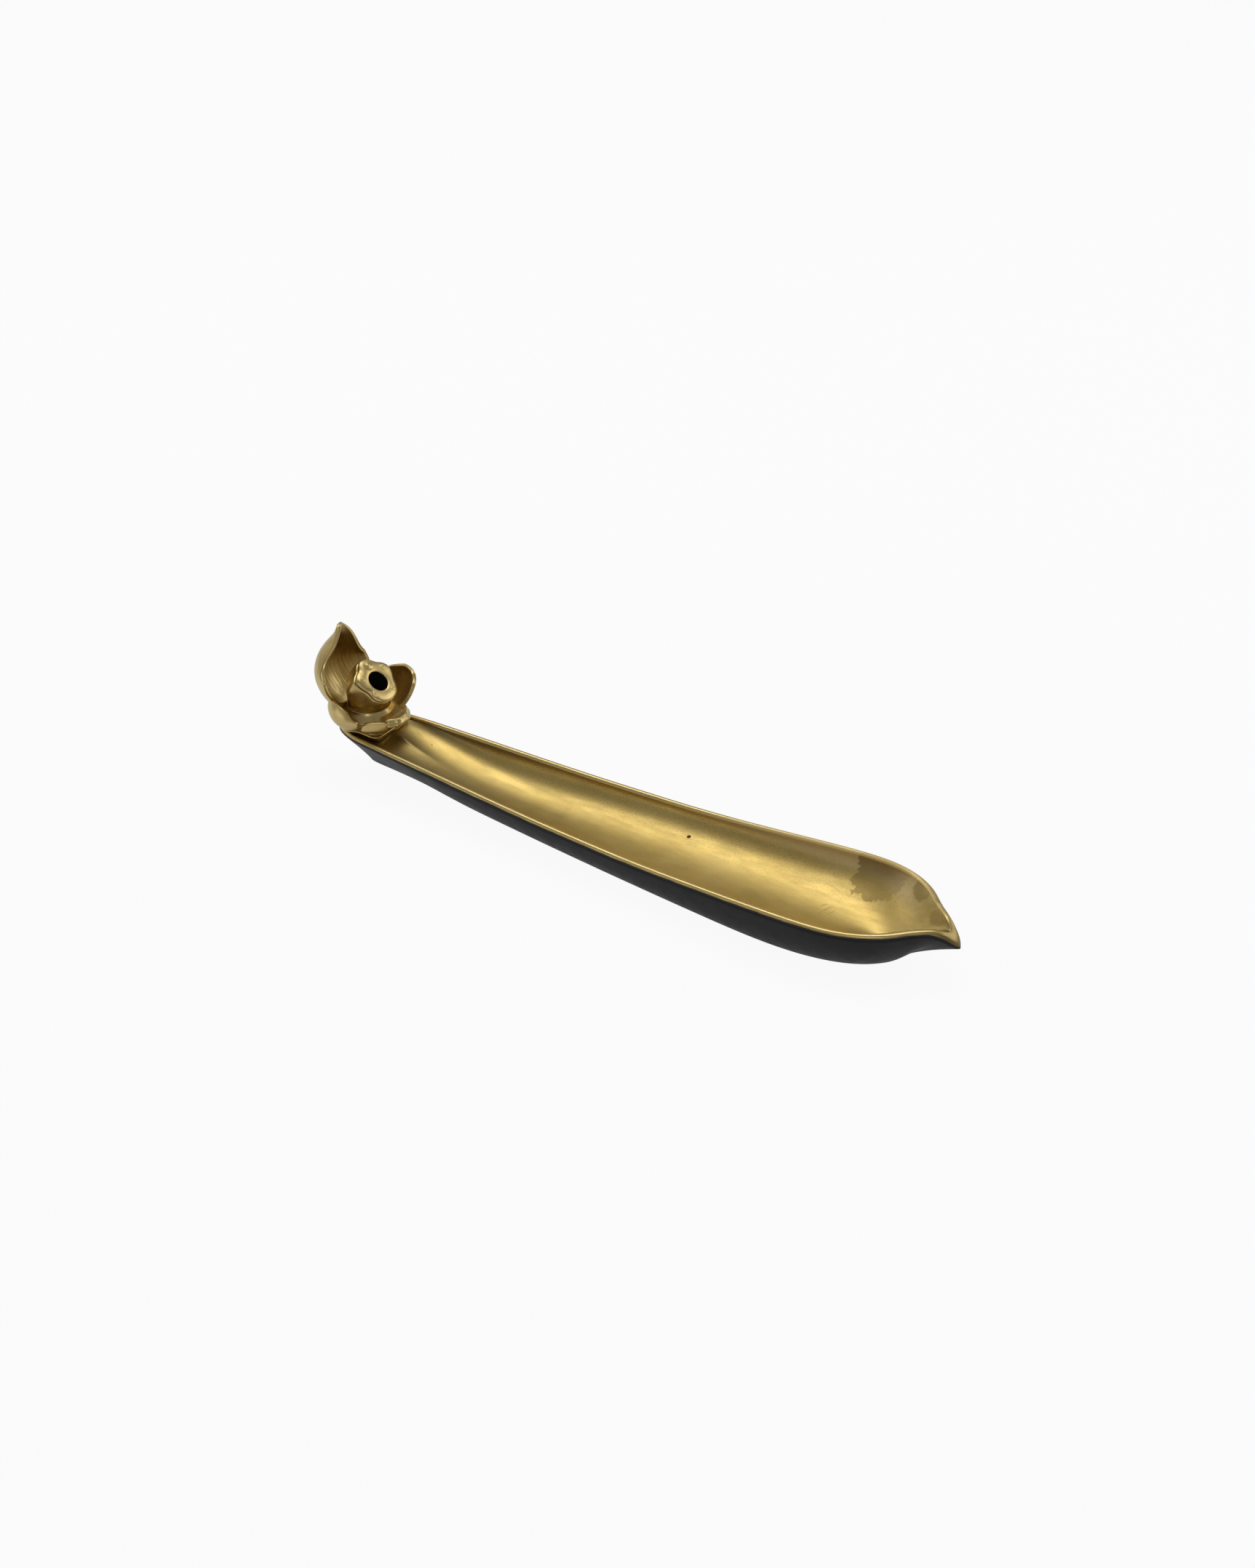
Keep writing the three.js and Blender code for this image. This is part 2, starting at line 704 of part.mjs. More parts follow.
function flowerFootSolid() {
  const round = (height) =>
    slipOutline.map((corner) => {
      const place = corner.clone().setLength(FOOT_RADIUS);
      return new THREE.Vector3(FLOWER_X + place.x, place.y, height);
    });
  const wavy = (height, back) =>
    slipOutline.map((corner) => {
      const place = corner.clone().setLength(corner.length() - back);
      return new THREE.Vector3(FLOWER_X + place.x, place.y, height);
    });
  return loft([
    round(FOOT_BOTTOM),
    round(SLIP_HEIGHT - 1.6 * SLIP_ROLL),
    wavy(SLIP_HEIGHT - SLIP_ROLL / 2, 0.3 * SLIP_ROLL),
    wavy(SLIP_HEIGHT, 0),
    wavy(SLIP_HEIGHT + SLIP_ROLL / 2, 0.4 * SLIP_ROLL),
    round(FOOT_TOP),
  ]);
}

// Materials

const blackGlaze = new THREE.MeshStandardMaterial({ color: 0x232325, roughness: 0.45, metalness: 0 });
const goldLustre = new THREE.MeshStandardMaterial({ color: 0xb8953f, roughness: 0.38, metalness: 1 });

// Assembly

const flower = new THREE.Group();
const hole = holeSolid();
flower.add(meshOf("pod_body", podBodySolid().subtract(hole), goldLustre));

let face = podFaceSolid().subtract(hole);
seeds.forEach((seed, i) => {
  face = face.subtract(seedPocket(seed));
  flower.add(meshOf(`pod_seed_${i + 1}`, seedSolid(seed), goldLustre));
});
flower.add(meshOf("pod_face", largestBody(face), goldLustre));

// The rest in the order in which it is luted on: each piece is cut to fit the room that those before
// it take up, seat included
const luted = {
  front_petal: (grow) => petalSolid(petals.front_petal, grow),
  collar: collarSolid,
  near_petal: (grow) => petalSolid(petals.near_petal, grow),
  back_petal: (grow) => petalSolid(petals.back_petal, grow),
  far_petal: (grow) => petalSolid(petals.far_petal, grow),
  far_rear_petal: (grow) => petalSolid(petals.far_rear_petal, grow),
  front_near_petal: (grow) => petalSolid(petals.front_near_petal, grow),
  flower_foot: flowerFootSolid,
};
let taken = podBodySolid(SEAT).add(trayCutter());
for (const [name, solid] of Object.entries(luted)) {
  flower.add(meshOf(name, largestBody(solid(0).subtract(taken)), goldLustre));
  taken = taken.add(solid(SEAT));
}

const tray = new THREE.Group();
tray.add(meshOf("hull", hullSolid(), blackGlaze));
tray.add(meshOf("gold_lining", liningSolid(), goldLustre));

const holder = new THREE.Group();
holder.add(tray, flower);

// The origin goes under the middle of the whole length, back petal included
const extent = new THREE.Box3().setFromObject(holder);
const shift = -(extent.min.x + extent.max.x) / 2;
tray.position.x = shift;
flower.position.x = shift;

export default holder;
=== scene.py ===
# %% [markdown]
# # A boat incense holder in black glaze and gold lustre
#
# The object is a long ceramic tray shaped like a boat, with an open lotus on its stern.
# A stick of incense stands in the hole of the lotus pod and drops its ash on the gold trough.
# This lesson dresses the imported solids: each cell makes one piece or one finish, and says why
# it is made that way. All sizes are written in millimetres and turned into metres on the mesh.

import math

import bmesh
import bpy
import numpy as np
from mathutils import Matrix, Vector


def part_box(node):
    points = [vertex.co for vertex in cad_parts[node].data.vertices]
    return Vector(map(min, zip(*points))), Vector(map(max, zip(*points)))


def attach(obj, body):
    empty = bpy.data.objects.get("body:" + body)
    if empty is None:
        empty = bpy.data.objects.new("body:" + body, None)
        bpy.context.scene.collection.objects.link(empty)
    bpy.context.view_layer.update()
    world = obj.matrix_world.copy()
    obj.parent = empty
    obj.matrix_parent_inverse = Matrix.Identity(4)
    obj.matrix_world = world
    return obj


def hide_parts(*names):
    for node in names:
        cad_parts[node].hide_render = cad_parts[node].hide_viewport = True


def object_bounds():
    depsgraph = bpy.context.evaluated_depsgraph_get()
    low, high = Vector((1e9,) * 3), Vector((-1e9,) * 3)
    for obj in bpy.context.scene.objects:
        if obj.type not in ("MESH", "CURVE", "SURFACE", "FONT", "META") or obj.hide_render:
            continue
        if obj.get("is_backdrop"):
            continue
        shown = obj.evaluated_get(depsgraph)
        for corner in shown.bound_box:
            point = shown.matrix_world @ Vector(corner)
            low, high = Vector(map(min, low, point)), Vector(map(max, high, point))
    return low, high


MM = 0.001
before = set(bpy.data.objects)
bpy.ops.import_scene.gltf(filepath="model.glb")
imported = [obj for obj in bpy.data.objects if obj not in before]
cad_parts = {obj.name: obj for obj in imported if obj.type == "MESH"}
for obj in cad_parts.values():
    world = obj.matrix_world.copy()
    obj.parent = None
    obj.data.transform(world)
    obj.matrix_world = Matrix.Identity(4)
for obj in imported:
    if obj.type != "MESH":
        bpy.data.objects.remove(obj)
cad_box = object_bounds()
print("solids:", len(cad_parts), "box in mm:", [[round(v / MM, 1) for v in c] for c in cad_box])

# %% [markdown]
# ## The camera
#
# The photograph looks down on the tray from its near side, a little from the bow. The camera is
# set first, so that every later choice can be judged in the same view. Blender turns a camera
# towards its own -Z, so the line from the camera to its target gives the turn.

# %% Set the camera
VIEW_AZIMUTH = math.radians(33.4)
VIEW_ELEVATION = math.radians(33.0)
VIEW_TARGET = Vector((-10.234, 17.8, 14.0)) * MM
VIEW_DISTANCE = 925.9 * MM
LENS = 63.45

towards_camera = Vector((
    math.sin(VIEW_AZIMUTH) * math.cos(VIEW_ELEVATION),
    -math.cos(VIEW_AZIMUTH) * math.cos(VIEW_ELEVATION),
    math.sin(VIEW_ELEVATION),
))
bpy.ops.object.camera_add(
    location=VIEW_TARGET + towards_camera * VIEW_DISTANCE,
    rotation=(-towards_camera).to_track_quat("-Z", "Y").to_euler(),
)
camera = bpy.context.object
camera.data.lens = LENS
bpy.context.scene.camera = camera
print("camera stands", [round(v, 3) for v in camera.location])

# %% [markdown]
# ## Small tools for finishes
#
# A finish is a small tree of nodes. These helpers add a node with its settings and join it to
# others, so that each finish below reads as a short recipe.

# %% Helpers for node trees
def new_finish(name):
    finish = bpy.data.materials.new(name)
    finish.use_nodes = True
    tree = finish.node_tree
    return finish, tree, tree.nodes["Principled BSDF"]


def add_node(tree, kind, settings=None, **sockets):
    node = tree.nodes.new(kind)
    for key, value in (settings or {}).items():
        setattr(node, key, value)
    for key, value in sockets.items():
        socket = node.inputs[key.replace("_", " ")]
        if isinstance(value, bpy.types.NodeSocket):
            tree.links.new(value, socket)
        else:
            socket.default_value = value
    return node


def place_of(tree):
    return tree.nodes.new("ShaderNodeTexCoord").outputs["Object"]


def noise(tree, vector, scale, detail=4.0, roughness=0.55):
    return add_node(
        tree, "ShaderNodeTexNoise", Vector=vector, Scale=scale, Detail=detail, Roughness=roughness
    ).outputs["Fac"]


def stretched(tree, vector, scale, rotation=(0, 0, 0)):
    return add_node(
        tree, "ShaderNodeMapping", Vector=vector, Scale=scale, Rotation=rotation
    ).outputs["Vector"]


def note_of(tree, name):
    """A number that was kept on the corners of a piece."""
    return add_node(tree, "ShaderNodeAttribute", {"attribute_name": name}).outputs["Fac"]


def between(tree, value, low, high, new_low=0.0, new_high=1.0):
    """A soft step from new_low to new_high while the value goes from low to high."""
    node = add_node(tree, "ShaderNodeMapRange", {"interpolation_type": "SMOOTHSTEP"})
    tree.links.new(value, node.inputs["Value"])
    ends = {"From Min": low, "From Max": high, "To Min": new_low, "To Max": new_high}
    for key, number in ends.items():
        node.inputs[key].default_value = number
    return node.outputs["Result"]


def zone(tree, value, low, high, new_low=0.0, new_high=1.0):
    """The same for a stretch of an axis, with its ends in millimetres."""
    return between(tree, value, low * MM, high * MM, new_low, new_high)


def sums(tree, operation, first, second):
    node = add_node(tree, "ShaderNodeMath", {"operation": operation})
    for socket, value in zip(node.inputs, (first, second)):
        if isinstance(value, bpy.types.NodeSocket):
            tree.links.new(value, socket)
        else:
            socket.default_value = value
    return node.outputs[0]


def times(tree, first, second):
    return sums(tree, "MULTIPLY", first, second)


def blend(tree, factor, first, second):
    node = add_node(tree, "ShaderNodeMix", {"data_type": "RGBA"})
    tree.links.new(factor, node.inputs["Factor"])
    for socket, value in zip([s for s in node.inputs if s.type == "RGBA"], (first, second)):
        if isinstance(value, bpy.types.NodeSocket):
            tree.links.new(value, socket)
        else:
            socket.default_value = (*value, 1.0)
    return [s for s in node.outputs if s.type == "RGBA"][0]


def bumped(tree, height, depth, strength=1.0, normal=None):
    node = add_node(tree, "ShaderNodeBump", Strength=strength, Distance=depth)
    tree.links.new(height, node.inputs["Height"])
    if normal is not None:
        tree.links.new(normal, node.inputs["Normal"])
    return node.outputs["Normal"]


# %% [markdown]
# ## The studio
#
# The photograph has a white ground and a large soft light overhead. The floor is a pale plane
# that the camera and the polished gold see as nearly white, while it still catches the shadow of
# the tray. Metal shows what stands round it, so five softboxes are hung: the large one above
# draws the bright stripe in the trough, one at the left and one at the right light the flower,
# a weak one in front lifts the far wall, and a low one puts the soft band on the petals' backs.

# %% Lay the floor
WHITE_TO_CAMERA = 0.93
WHITE_TO_POLISH = 0.3

bpy.ops.object.select_all(action="DESELECT")
bpy.ops.mesh.primitive_plane_add(size=8.0)
floor = bpy.context.object
floor.name = floor.data.name = "floor"
floor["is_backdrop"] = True

floor_finish, tree, shader = new_finish("pale_floor")
shader.inputs["Base Color"].default_value = (0.8, 0.8, 0.8, 1.0)
shader.inputs["Roughness"].default_value = 0.9
shader.inputs["Specular IOR Level"].default_value = 0.1
seen = add_node(tree, "ShaderNodeLightPath").outputs
in_polish = sums(tree, "MAXIMUM", seen["Is Glossy Ray"], seen["Is Transmission Ray"])
whiteness = times(tree, seen["Is Camera Ray"], WHITE_TO_CAMERA)
whiteness = sums(tree, "MAXIMUM", whiteness, times(tree, in_polish, WHITE_TO_POLISH))
white = add_node(tree, "ShaderNodeEmission", Color=(1.0, 1.0, 1.0, 1.0), Strength=1.0)
mixed = add_node(tree, "ShaderNodeMixShader")
tree.links.new(whiteness, mixed.inputs[0])
tree.links.new(shader.outputs[0], mixed.inputs[1])
tree.links.new(white.outputs[0], mixed.inputs[2])
tree.links.new(mixed.outputs[0], tree.nodes["Material Output"].inputs["Surface"])
floor.data.materials.append(floor_finish)

# %% Hang the lights
# Name, place, target, width and height in metres, and power in watts
SOFTBOXES = [
    ("softbox_above", (-0.25, 0.42, 1.2), (0.0, 0.0, 0.0), (1.3, 0.6), 5.6),
    ("softbox_left", (-1.2, 0.1, 0.55), (-0.05, 0.0, 0.0), (0.9, 0.7), 1.6),
    ("softbox_right", (0.75, 0.95, 0.55), (-0.1, 0.0, 0.02), (0.9, 0.6), 2.8),
    ("softbox_front", (0.7, -1.2, 0.9), (0.0, 0.0, 0.0), (0.6, 0.5), 1.8),
    ("softbox_low", (-0.85, -0.92, 0.19), (0.05, 0.0, 0.01), (0.8, 0.3), 0.75),
]
ROOM_TINT = (0.86, 0.87, 0.9, 1.0)
ROOM_STRENGTH = 0.26
BACKDROP_STRENGTH = 0.97


def hang_softbox(name, place, target, size, power):
    bpy.ops.object.light_add(
        type="AREA",
        location=place,
        rotation=(Vector(target) - Vector(place)).to_track_quat("-Z", "Y").to_euler(),
    )
    lamp = bpy.context.object
    lamp.name = name
    lamp.data.shape = "RECTANGLE"
    lamp.data.size, lamp.data.size_y = size
    lamp.data.energy = power


for softbox in SOFTBOXES:
    hang_softbox(*softbox)

studio = bpy.data.worlds.new("studio")
bpy.context.scene.world = studio
studio.use_nodes = True
tree = studio.node_tree
room = tree.nodes["Background"]
room.inputs["Color"].default_value = ROOM_TINT
room.inputs["Strength"].default_value = ROOM_STRENGTH
backdrop = add_node(
    tree, "ShaderNodeBackground", Color=(1.0, 1.0, 1.0, 1.0), Strength=BACKDROP_STRENGTH
)
seen = add_node(tree, "ShaderNodeLightPath").outputs["Is Camera Ray"]
mixed = add_node(tree, "ShaderNodeMixShader")
for socket, value in zip(mixed.inputs, (seen, room.outputs[0], backdrop.outputs[0])):
    tree.links.new(value, socket)
tree.links.new(mixed.outputs[0], tree.nodes["World Output"].inputs["Surface"])
bpy.context.scene.view_settings.view_transform = "Standard"

# %% [markdown]
# ## Pulling rings
#
# Most of this object is made of closed skins that run round a line: the rim round the boat, the
# wall round the pod, the crescent round a petal's middle line. By hand one adds a circle, and
# then extrudes its edge again and again and moves each new ring into place. The helper does just
# that. Every corner remembers its number on the ring, so each new ring can be set corner by
# corner, and the two ends are closed when the last ring is in place.

# %% Helper that pulls a ring into a piece
SAME_PLACE = 0.002
SMOOTH_ANGLE = 50.0


def place_newest(piece, ring, notes):
    mesh = bmesh.from_edit_mesh(piece.data)
    mesh.verts.ensure_lookup_table()
    order = mesh.verts.layers.int["order"]
    layers = {key: mesh.verts.layers.float[key] for key in notes}
    for corner in mesh.verts[len(mesh.verts) - len(ring):]:
        number = corner[order]
        corner.co = ring[number]
        for key, layer in layers.items():
            corner[layer] = notes[key][number]
    bmesh.update_edit_mesh(piece.data)


def pull_rings(name, rings, notes=None):
    """rings: arrays of corners in mm. notes: numbers kept on each corner, one array a ring."""
    notes = notes or {}
    bpy.ops.object.select_all(action="DESELECT")
    bpy.ops.mesh.primitive_circle_add(vertices=len(rings[0]), radius=MM)
    piece = bpy.context.object
    piece.name = piece.data.name = name
    bpy.ops.object.mode_set(mode="EDIT")
    mesh = bmesh.from_edit_mesh(piece.data)
    mesh.verts.layers.int.new("order")
    for key in notes:
        mesh.verts.layers.float.new(key)
    order = mesh.verts.layers.int["order"]
    for number, corner in enumerate(mesh.verts):
        corner[order] = number
    bmesh.update_edit_mesh(piece.data)
    for step, ring in enumerate(rings):
        if step:
            bpy.ops.mesh.extrude_edges_move()
        kept = {key: rows[step] for key, rows in notes.items()}
        place_newest(piece, np.asarray(ring) * MM, kept)
    bpy.ops.mesh.select_all(action="SELECT")
    bpy.ops.mesh.remove_doubles(threshold=SAME_PLACE * MM)
    bpy.ops.mesh.fill_holes(sides=0)
    bpy.ops.mesh.select_all(action="SELECT")
    bpy.ops.mesh.normals_make_consistent(inside=False)
    bpy.ops.object.mode_set(mode="OBJECT")
    return piece


def smooth_skin(piece, levels, angle=SMOOTH_ANGLE):
    """Round a piece with Subdivision Surface and shade it smooth up to an angle."""
    bpy.ops.object.select_all(action="DESELECT")
    piece.select_set(True)
    bpy.context.view_layer.objects.active = piece
    finer = piece.modifiers.new("finer", "SUBSURF")
    finer.levels = finer.render_levels = levels
    bpy.ops.object.modifier_apply(modifier=finer.name)
    bpy.ops.object.shade_smooth_by_angle(angle=math.radians(angle))
    return piece


def dress(piece, finish, slot, *nodes):
    """Give a piece its finish and let it stand for the solids of the same place."""
    piece.data.materials.clear()
    piece.data.materials.append(finish)
    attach(piece, "root")
    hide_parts(*nodes)
    size = [round(d / MM, 1) for d in piece.dimensions]
    print(piece.name, "stands for", nodes, "size in mm", size, "faces", len(piece.data.polygons))


# %% [markdown]
# ## The outline of the tray
#
# Seen from above the boat is a long leaf: a blunt round stern, flanks that widen slowly, broad
# shoulders and a drawn-out tip. The outline is one smooth curve through a few measured places,
# and everything else on the tray is measured inwards from it. Because a polished trough shows
# every kink, the curve is cut into equal short steps.

# %% Draw the outline
stern_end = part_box("hull")[0].x / MM
tip_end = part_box("hull")[1].x / MM
TRAY_LENGTH = tip_end - stern_end
BEAM = 46.76
BOW_REACH = 43.6
STERN_WIDTH = 28.2
STERN_REACH = 40.0
FLANK_SWELL = 0.5
# Steps of the raw line, and how far and how softly each of them is eased over its neighbours
RAW_STEPS = 1200
EASE_REACH = 24
EASE_SPREAD = 9.0
KEPT_AT_THE_ENDS = 40.0
# How much denser the corners stand at an end, and over how many millimetres
TIP_CROWD, TIP_CROWD_REACH = 2.5, 14.0
STERN_CROWD, STERN_CROWD_REACH = 1.5, 6.0

# Distance from the stern and share of its half width
STERN_PLACES = [(0, 0), (0.03, 0.47), (0.2, 0.76), (0.5, 0.89), (1, 1)]
# Distance from the tip and share of the half beam
BOW_PLACES = [
    (1, 1), (0.75, 0.955), (0.565, 0.842), (0.405, 0.66), (0.28, 0.43),
    (0.188, 0.28), (0.098, 0.172), (0.024, 0.08), (0, 0),
]


def curve_through(places, steps):
    """A smooth curve through places that keeps to them even where they lie unevenly."""
    p = np.asarray(places, float)
    p = np.vstack([2 * p[0] - p[1], p, 2 * p[-1] - p[-2]])
    made = []
    for k in range(1, len(p) - 2):
        a, b, c, d = p[k - 1 : k + 3]
        first, middle, last = (math.sqrt(np.linalg.norm(v)) for v in (b - a, c - b, d - c))
        start = middle * ((b - a) / first - (c - a) / (first + middle) + (c - b) / middle)
        stop = middle * ((c - b) / middle - (d - b) / (middle + last) + (d - c) / last)
        for t in np.linspace(0, 1, steps, endpoint=False):
            made.append(
                b + start * t + (3 * c - 3 * b - 2 * start - stop) * t**2
                + (2 * b - 2 * c + start + stop) * t**3
            )
    made.append(p[-2])
    return np.array(made)


def even_steps(line, count, crowd=None):
    """The same line in count steps. crowd gives how dense the steps are at each place."""
    length = np.linalg.norm(np.diff(line, axis=0), axis=1)
    if crowd is not None:
        length = length * (crowd[1:] + crowd[:-1]) / 2
    run = np.concatenate([[0], np.cumsum(length)])
    stops = np.linspace(0, run[-1], count + 1)
    return np.stack([np.interp(stops, run, line[:, axis]) for axis in range(line.shape[1])], 1)


def half_outline(count):
    stern = [(stern_end + a * STERN_REACH, -b * STERN_WIDTH / 2) for a, b in STERN_PLACES]
    bow = [(tip_end - a * BOW_REACH, -b * BEAM / 2) for a, b in BOW_PLACES]
    flank = []
    for share in (0.33, 0.67):
        x = stern[-1][0] + share * (bow[0][0] - stern[-1][0])
        y = stern[-1][1] + share * (bow[0][1] - stern[-1][1])
        flank.append((x, y - FLANK_SWELL * math.sin(math.pi * share)))
    line = curve_through([*stern, *flank, *bow], 60)
    line = even_steps(line, RAW_STEPS)
    kernel = np.exp(-0.5 * (np.arange(-EASE_REACH, EASE_REACH + 1) / EASE_SPREAD) ** 2)
    kernel /= kernel.sum()
    eased = line.copy()
    padded = np.pad(line, ((EASE_REACH, EASE_REACH), (0, 0)), mode="reflect", reflect_type="odd")
    for axis in range(2):
        eased[:, axis] = np.convolve(padded[:, axis], kernel, "valid")
    steps = np.arange(len(line))
    keep = np.clip(np.minimum(steps, steps[::-1]) / KEPT_AT_THE_ENDS, 0, 1)[:, None]
    line = line * (1 - keep) + eased * keep
    x = line[:, 0]
    crowd = 1.0 + TIP_CROWD * np.clip((x - (tip_end - TIP_CROWD_REACH)) / TIP_CROWD_REACH, 0, 1)
    crowd += STERN_CROWD * np.clip((stern_end + STERN_CROWD_REACH - x) / STERN_CROWD_REACH, 0, 1)
    return even_steps(line, count, crowd)


OUTLINE_STEPS = 150
half = half_outline(OUTLINE_STEPS)
outline = np.vstack([half, half[1:-1][::-1] * (1, -1)])
print("outline corners:", len(outline), "beam in mm:", round(np.ptp(outline[:, 1]), 2))

# %% [markdown]
# ## Heights and widths along the tray
#
# The rim is lowest amidships, climbs to the bow and to the stern, and curls down at the tip. The
# trough deepens from the flower and keeps its depth to the bow, where the bead widens to a lip
# that runs softly into it. The outline's point would leave a crease along the trough, so each
# ring of it is eased more, the deeper it lies. These small functions say where each line of the
# section lies, and the rings of the hull and of the lining are built on them.

# %% Sections of the tray
RIM_HEIGHT = 13.4
BOW_SHEER = 4.8
STERN_SHEER = 2.1
TIP_DROOP = 5.6
TIP_DROOP_REACH = 9.5
BEAD_WIDTH = 2.3
BEAD_RADIUS = BEAD_WIDTH / 2
LIP_LENGTH = 3.9
LIP_REACH = 9.0
LIP_BLEND = 0.85
LIP_BLEND_REACH = 34.0
LIP_BLEND_END = 10.0
FLOOR_HEIGHT = 4.4
FLOOR_STERN_HEIGHT = 14.0
FLOOR_RISE_LENGTH = 32.0
TROUGH_STERN_END = 24.0
TROUGH_BOW_END = 30.0
TROUGH_TIP_EASE = 2.3
TROUGH_TIP_REACH = 0.95 * BOW_REACH
TROUGH_EASE = 10.0
TROUGH_LEAST_EASE = 0.1


def ease(value, low, high):
    share = np.clip((value - low) / (high - low), 0, 1)
    return share * share * (3 - 2 * share)


def rim_height(x):
    bow = BOW_SHEER * ease(x, stern_end + TRAY_LENGTH / 2, tip_end - TIP_DROOP_REACH)
    stern_top = -stern_end - TIP_DROOP_REACH
    middle = (stern_end + tip_end) / 2
    stern = STERN_SHEER * ease(middle - x, TRAY_LENGTH / 16, stern_top + middle)
    droop = np.maximum(0, (x - tip_end + TIP_DROOP_REACH) / TIP_DROOP_REACH)
    return RIM_HEIGHT + bow + stern - TIP_DROOP * droop**2


def tip_share(x):
    return ease(x, tip_end - BOW_REACH / 3, tip_end)


def shoulder_share(x):
    return ease(x, tip_end - 1.4 * BOW_REACH, tip_end - BOW_REACH / 3)


def spine_of(points, from_stern, from_tip):
    return np.stack([
        np.clip(points[:, 0], stern_end + from_stern, tip_end - from_tip),
        np.zeros(len(points)),
    ], 1)


def inset(distance):
    inwards = spine_of(outline, TROUGH_STERN_END, TROUGH_BOW_END) - outline
    inwards /= np.linalg.norm(inwards, axis=1)[:, None]
    return outline + inwards * np.broadcast_to(distance, len(outline))[:, None]


def raised(flat, height):
    return np.column_stack([flat, np.broadcast_to(height, len(flat))])


def eased_ring(ring, spread):
    """The same ring with its sharp turns eased over its neighbours."""
    shifts = np.arange(-math.ceil(3 * spread), math.ceil(3 * spread) + 1)
    weights = np.exp(-0.5 * (shifts / spread) ** 2)
    weights /= weights.sum()
    return sum(weight * np.roll(ring, shift, axis=0) for weight, shift in zip(weights, shifts))


def rim_width(x):
    return BEAD_WIDTH + (LIP_LENGTH - BEAD_WIDTH) * ease(x, tip_end - LIP_REACH, tip_end)


def inner_drop(x, depth):
    """How far the inner foot of the bead lies under its top, which is less near the bow."""
    blended = LIP_BLEND * ease(x, tip_end - LIP_BLEND_REACH, tip_end - LIP_BLEND_END)
    return BEAD_RADIUS * (1 - blended) + depth * blended


def bead_ring(angle, depth):
    x = outline[:, 0]
    width = rim_width(x)
    flat = inset(width / 2 - (width / 2 - depth) * math.cos(angle))
    drop = inner_drop(x, depth) if angle > math.pi / 2 else BEAD_RADIUS
    return raised(flat, rim_height(flat[:, 0]) - drop + (drop - depth) * math.sin(angle))


def trough_ring(angle, depth):
    x = outline[:, 0]
    top = inset(rim_width(x) - depth)
    foot = spine_of(outline, TROUGH_STERN_END, TROUGH_BOW_END)
    flat = top + (foot - top) * (1 - math.cos(angle))
    rise_start = stern_end + TROUGH_STERN_END + FLOOR_RISE_LENGTH
    rise = np.maximum(0, (rise_start - foot[:, 0]) / FLOOR_RISE_LENGTH)
    floor_line = FLOOR_HEIGHT + (FLOOR_STERN_HEIGHT - FLOOR_HEIGHT) * rise**2 - depth
    high = rim_height(top[:, 0]) - inner_drop(x, depth)
    bow_share = ease(x, tip_end - TROUGH_TIP_REACH, tip_end - LIP_BLEND_END)
    softness = 1 + (TROUGH_TIP_EASE - 1) * bow_share
    ring = raised(flat, high + (floor_line - high) * math.sin(angle) ** softness)
    return eased_ring(ring, TROUGH_LEAST_EASE + TROUGH_EASE * math.sin(angle))


def lap_ring(drop, depth):
    return raised(inset(depth), rim_height(outline[:, 0]) - BEAD_RADIUS - drop)


# %% [markdown]
# ## The gold lining
#
# On the real holder the lustre is a film of metal on the glaze. It fills the trough, rolls over
# the bead of the rim and ends in an uneven brushed edge just outside. Here it is a thin shell of
# its own, pulled ring by ring from the lowest line of the trough, over the bead and back.

# %% Pull the lining
LINING = 0.5
LINING_LAP = 0.5
TROUGH_RINGS = 18
BEAD_RINGS = 9

trough_angles = np.linspace(math.pi / 2, 0, TROUGH_RINGS, endpoint=False)
bead_angles = np.linspace(math.pi, 0, BEAD_RINGS + 1)
under = [trough_ring(a, LINING) for a in trough_angles] + [bead_ring(a, LINING) for a in bead_angles]
over = [trough_ring(a, 0) for a in trough_angles] + [bead_ring(a, 0) for a in bead_angles]
lap = [lap_ring(0.5 * LINING_LAP, LINING), lap_ring(LINING_LAP, LINING)]
lap += [lap_ring(LINING_LAP, 0), lap_ring(0.5 * LINING_LAP, 0)]
# How far each ring lies inside the painted edge: 0 on the outside, 1 at the trough
gilt = [1.0] * TROUGH_RINGS + [angle / math.pi for angle in bead_angles]
gilt = [*gilt, *[0.0] * len(lap), *gilt[::-1]]
gilt = [np.full(len(outline), share) for share in gilt]
lining = pull_rings("gold_lining_fine", [*under, *lap, *over[::-1]], {"gilt": gilt})
smooth_skin(lining, 1)
print("lining rings:", len(gilt), "gold skin in mm:", LINING)

# %% [markdown]
# ## The black hull
#
# The hull is the clay boat itself. Its wall rises from a narrow foot, swells out and meets the
# gold under the rim. Under the tip it turns hollow and sweeps up like the stem of a leaf. It is
# pulled from the hollow inside the foot, over the ring that touches the ground, up the wall and
# over the core of the rim.

# %% Sections of the hull
FOOT_INSET = 5.0
FOOT_INSET_STERN = 11.0
FOOT_INSET_SHOULDER = 9.8
FOOT_INSET_TIP = 19.6
FOOT_LEAST_WIDTH = 4.6
FOOT_LEAST_STERN = 2.4
FOOT_STERN_END = 11.0
FOOT_BOW_END = 39.6
FOOT_RIM = 2.6
FOOT_RECESS = 0.9
FOOT_EASE = 7.0
WALL_BULGE = 0.5
BOW_BULGE = 0.5
TIP_HOLLOW = 0.2
TIP_HOLLOW_REACH = 12.0
SEAT = 0.3


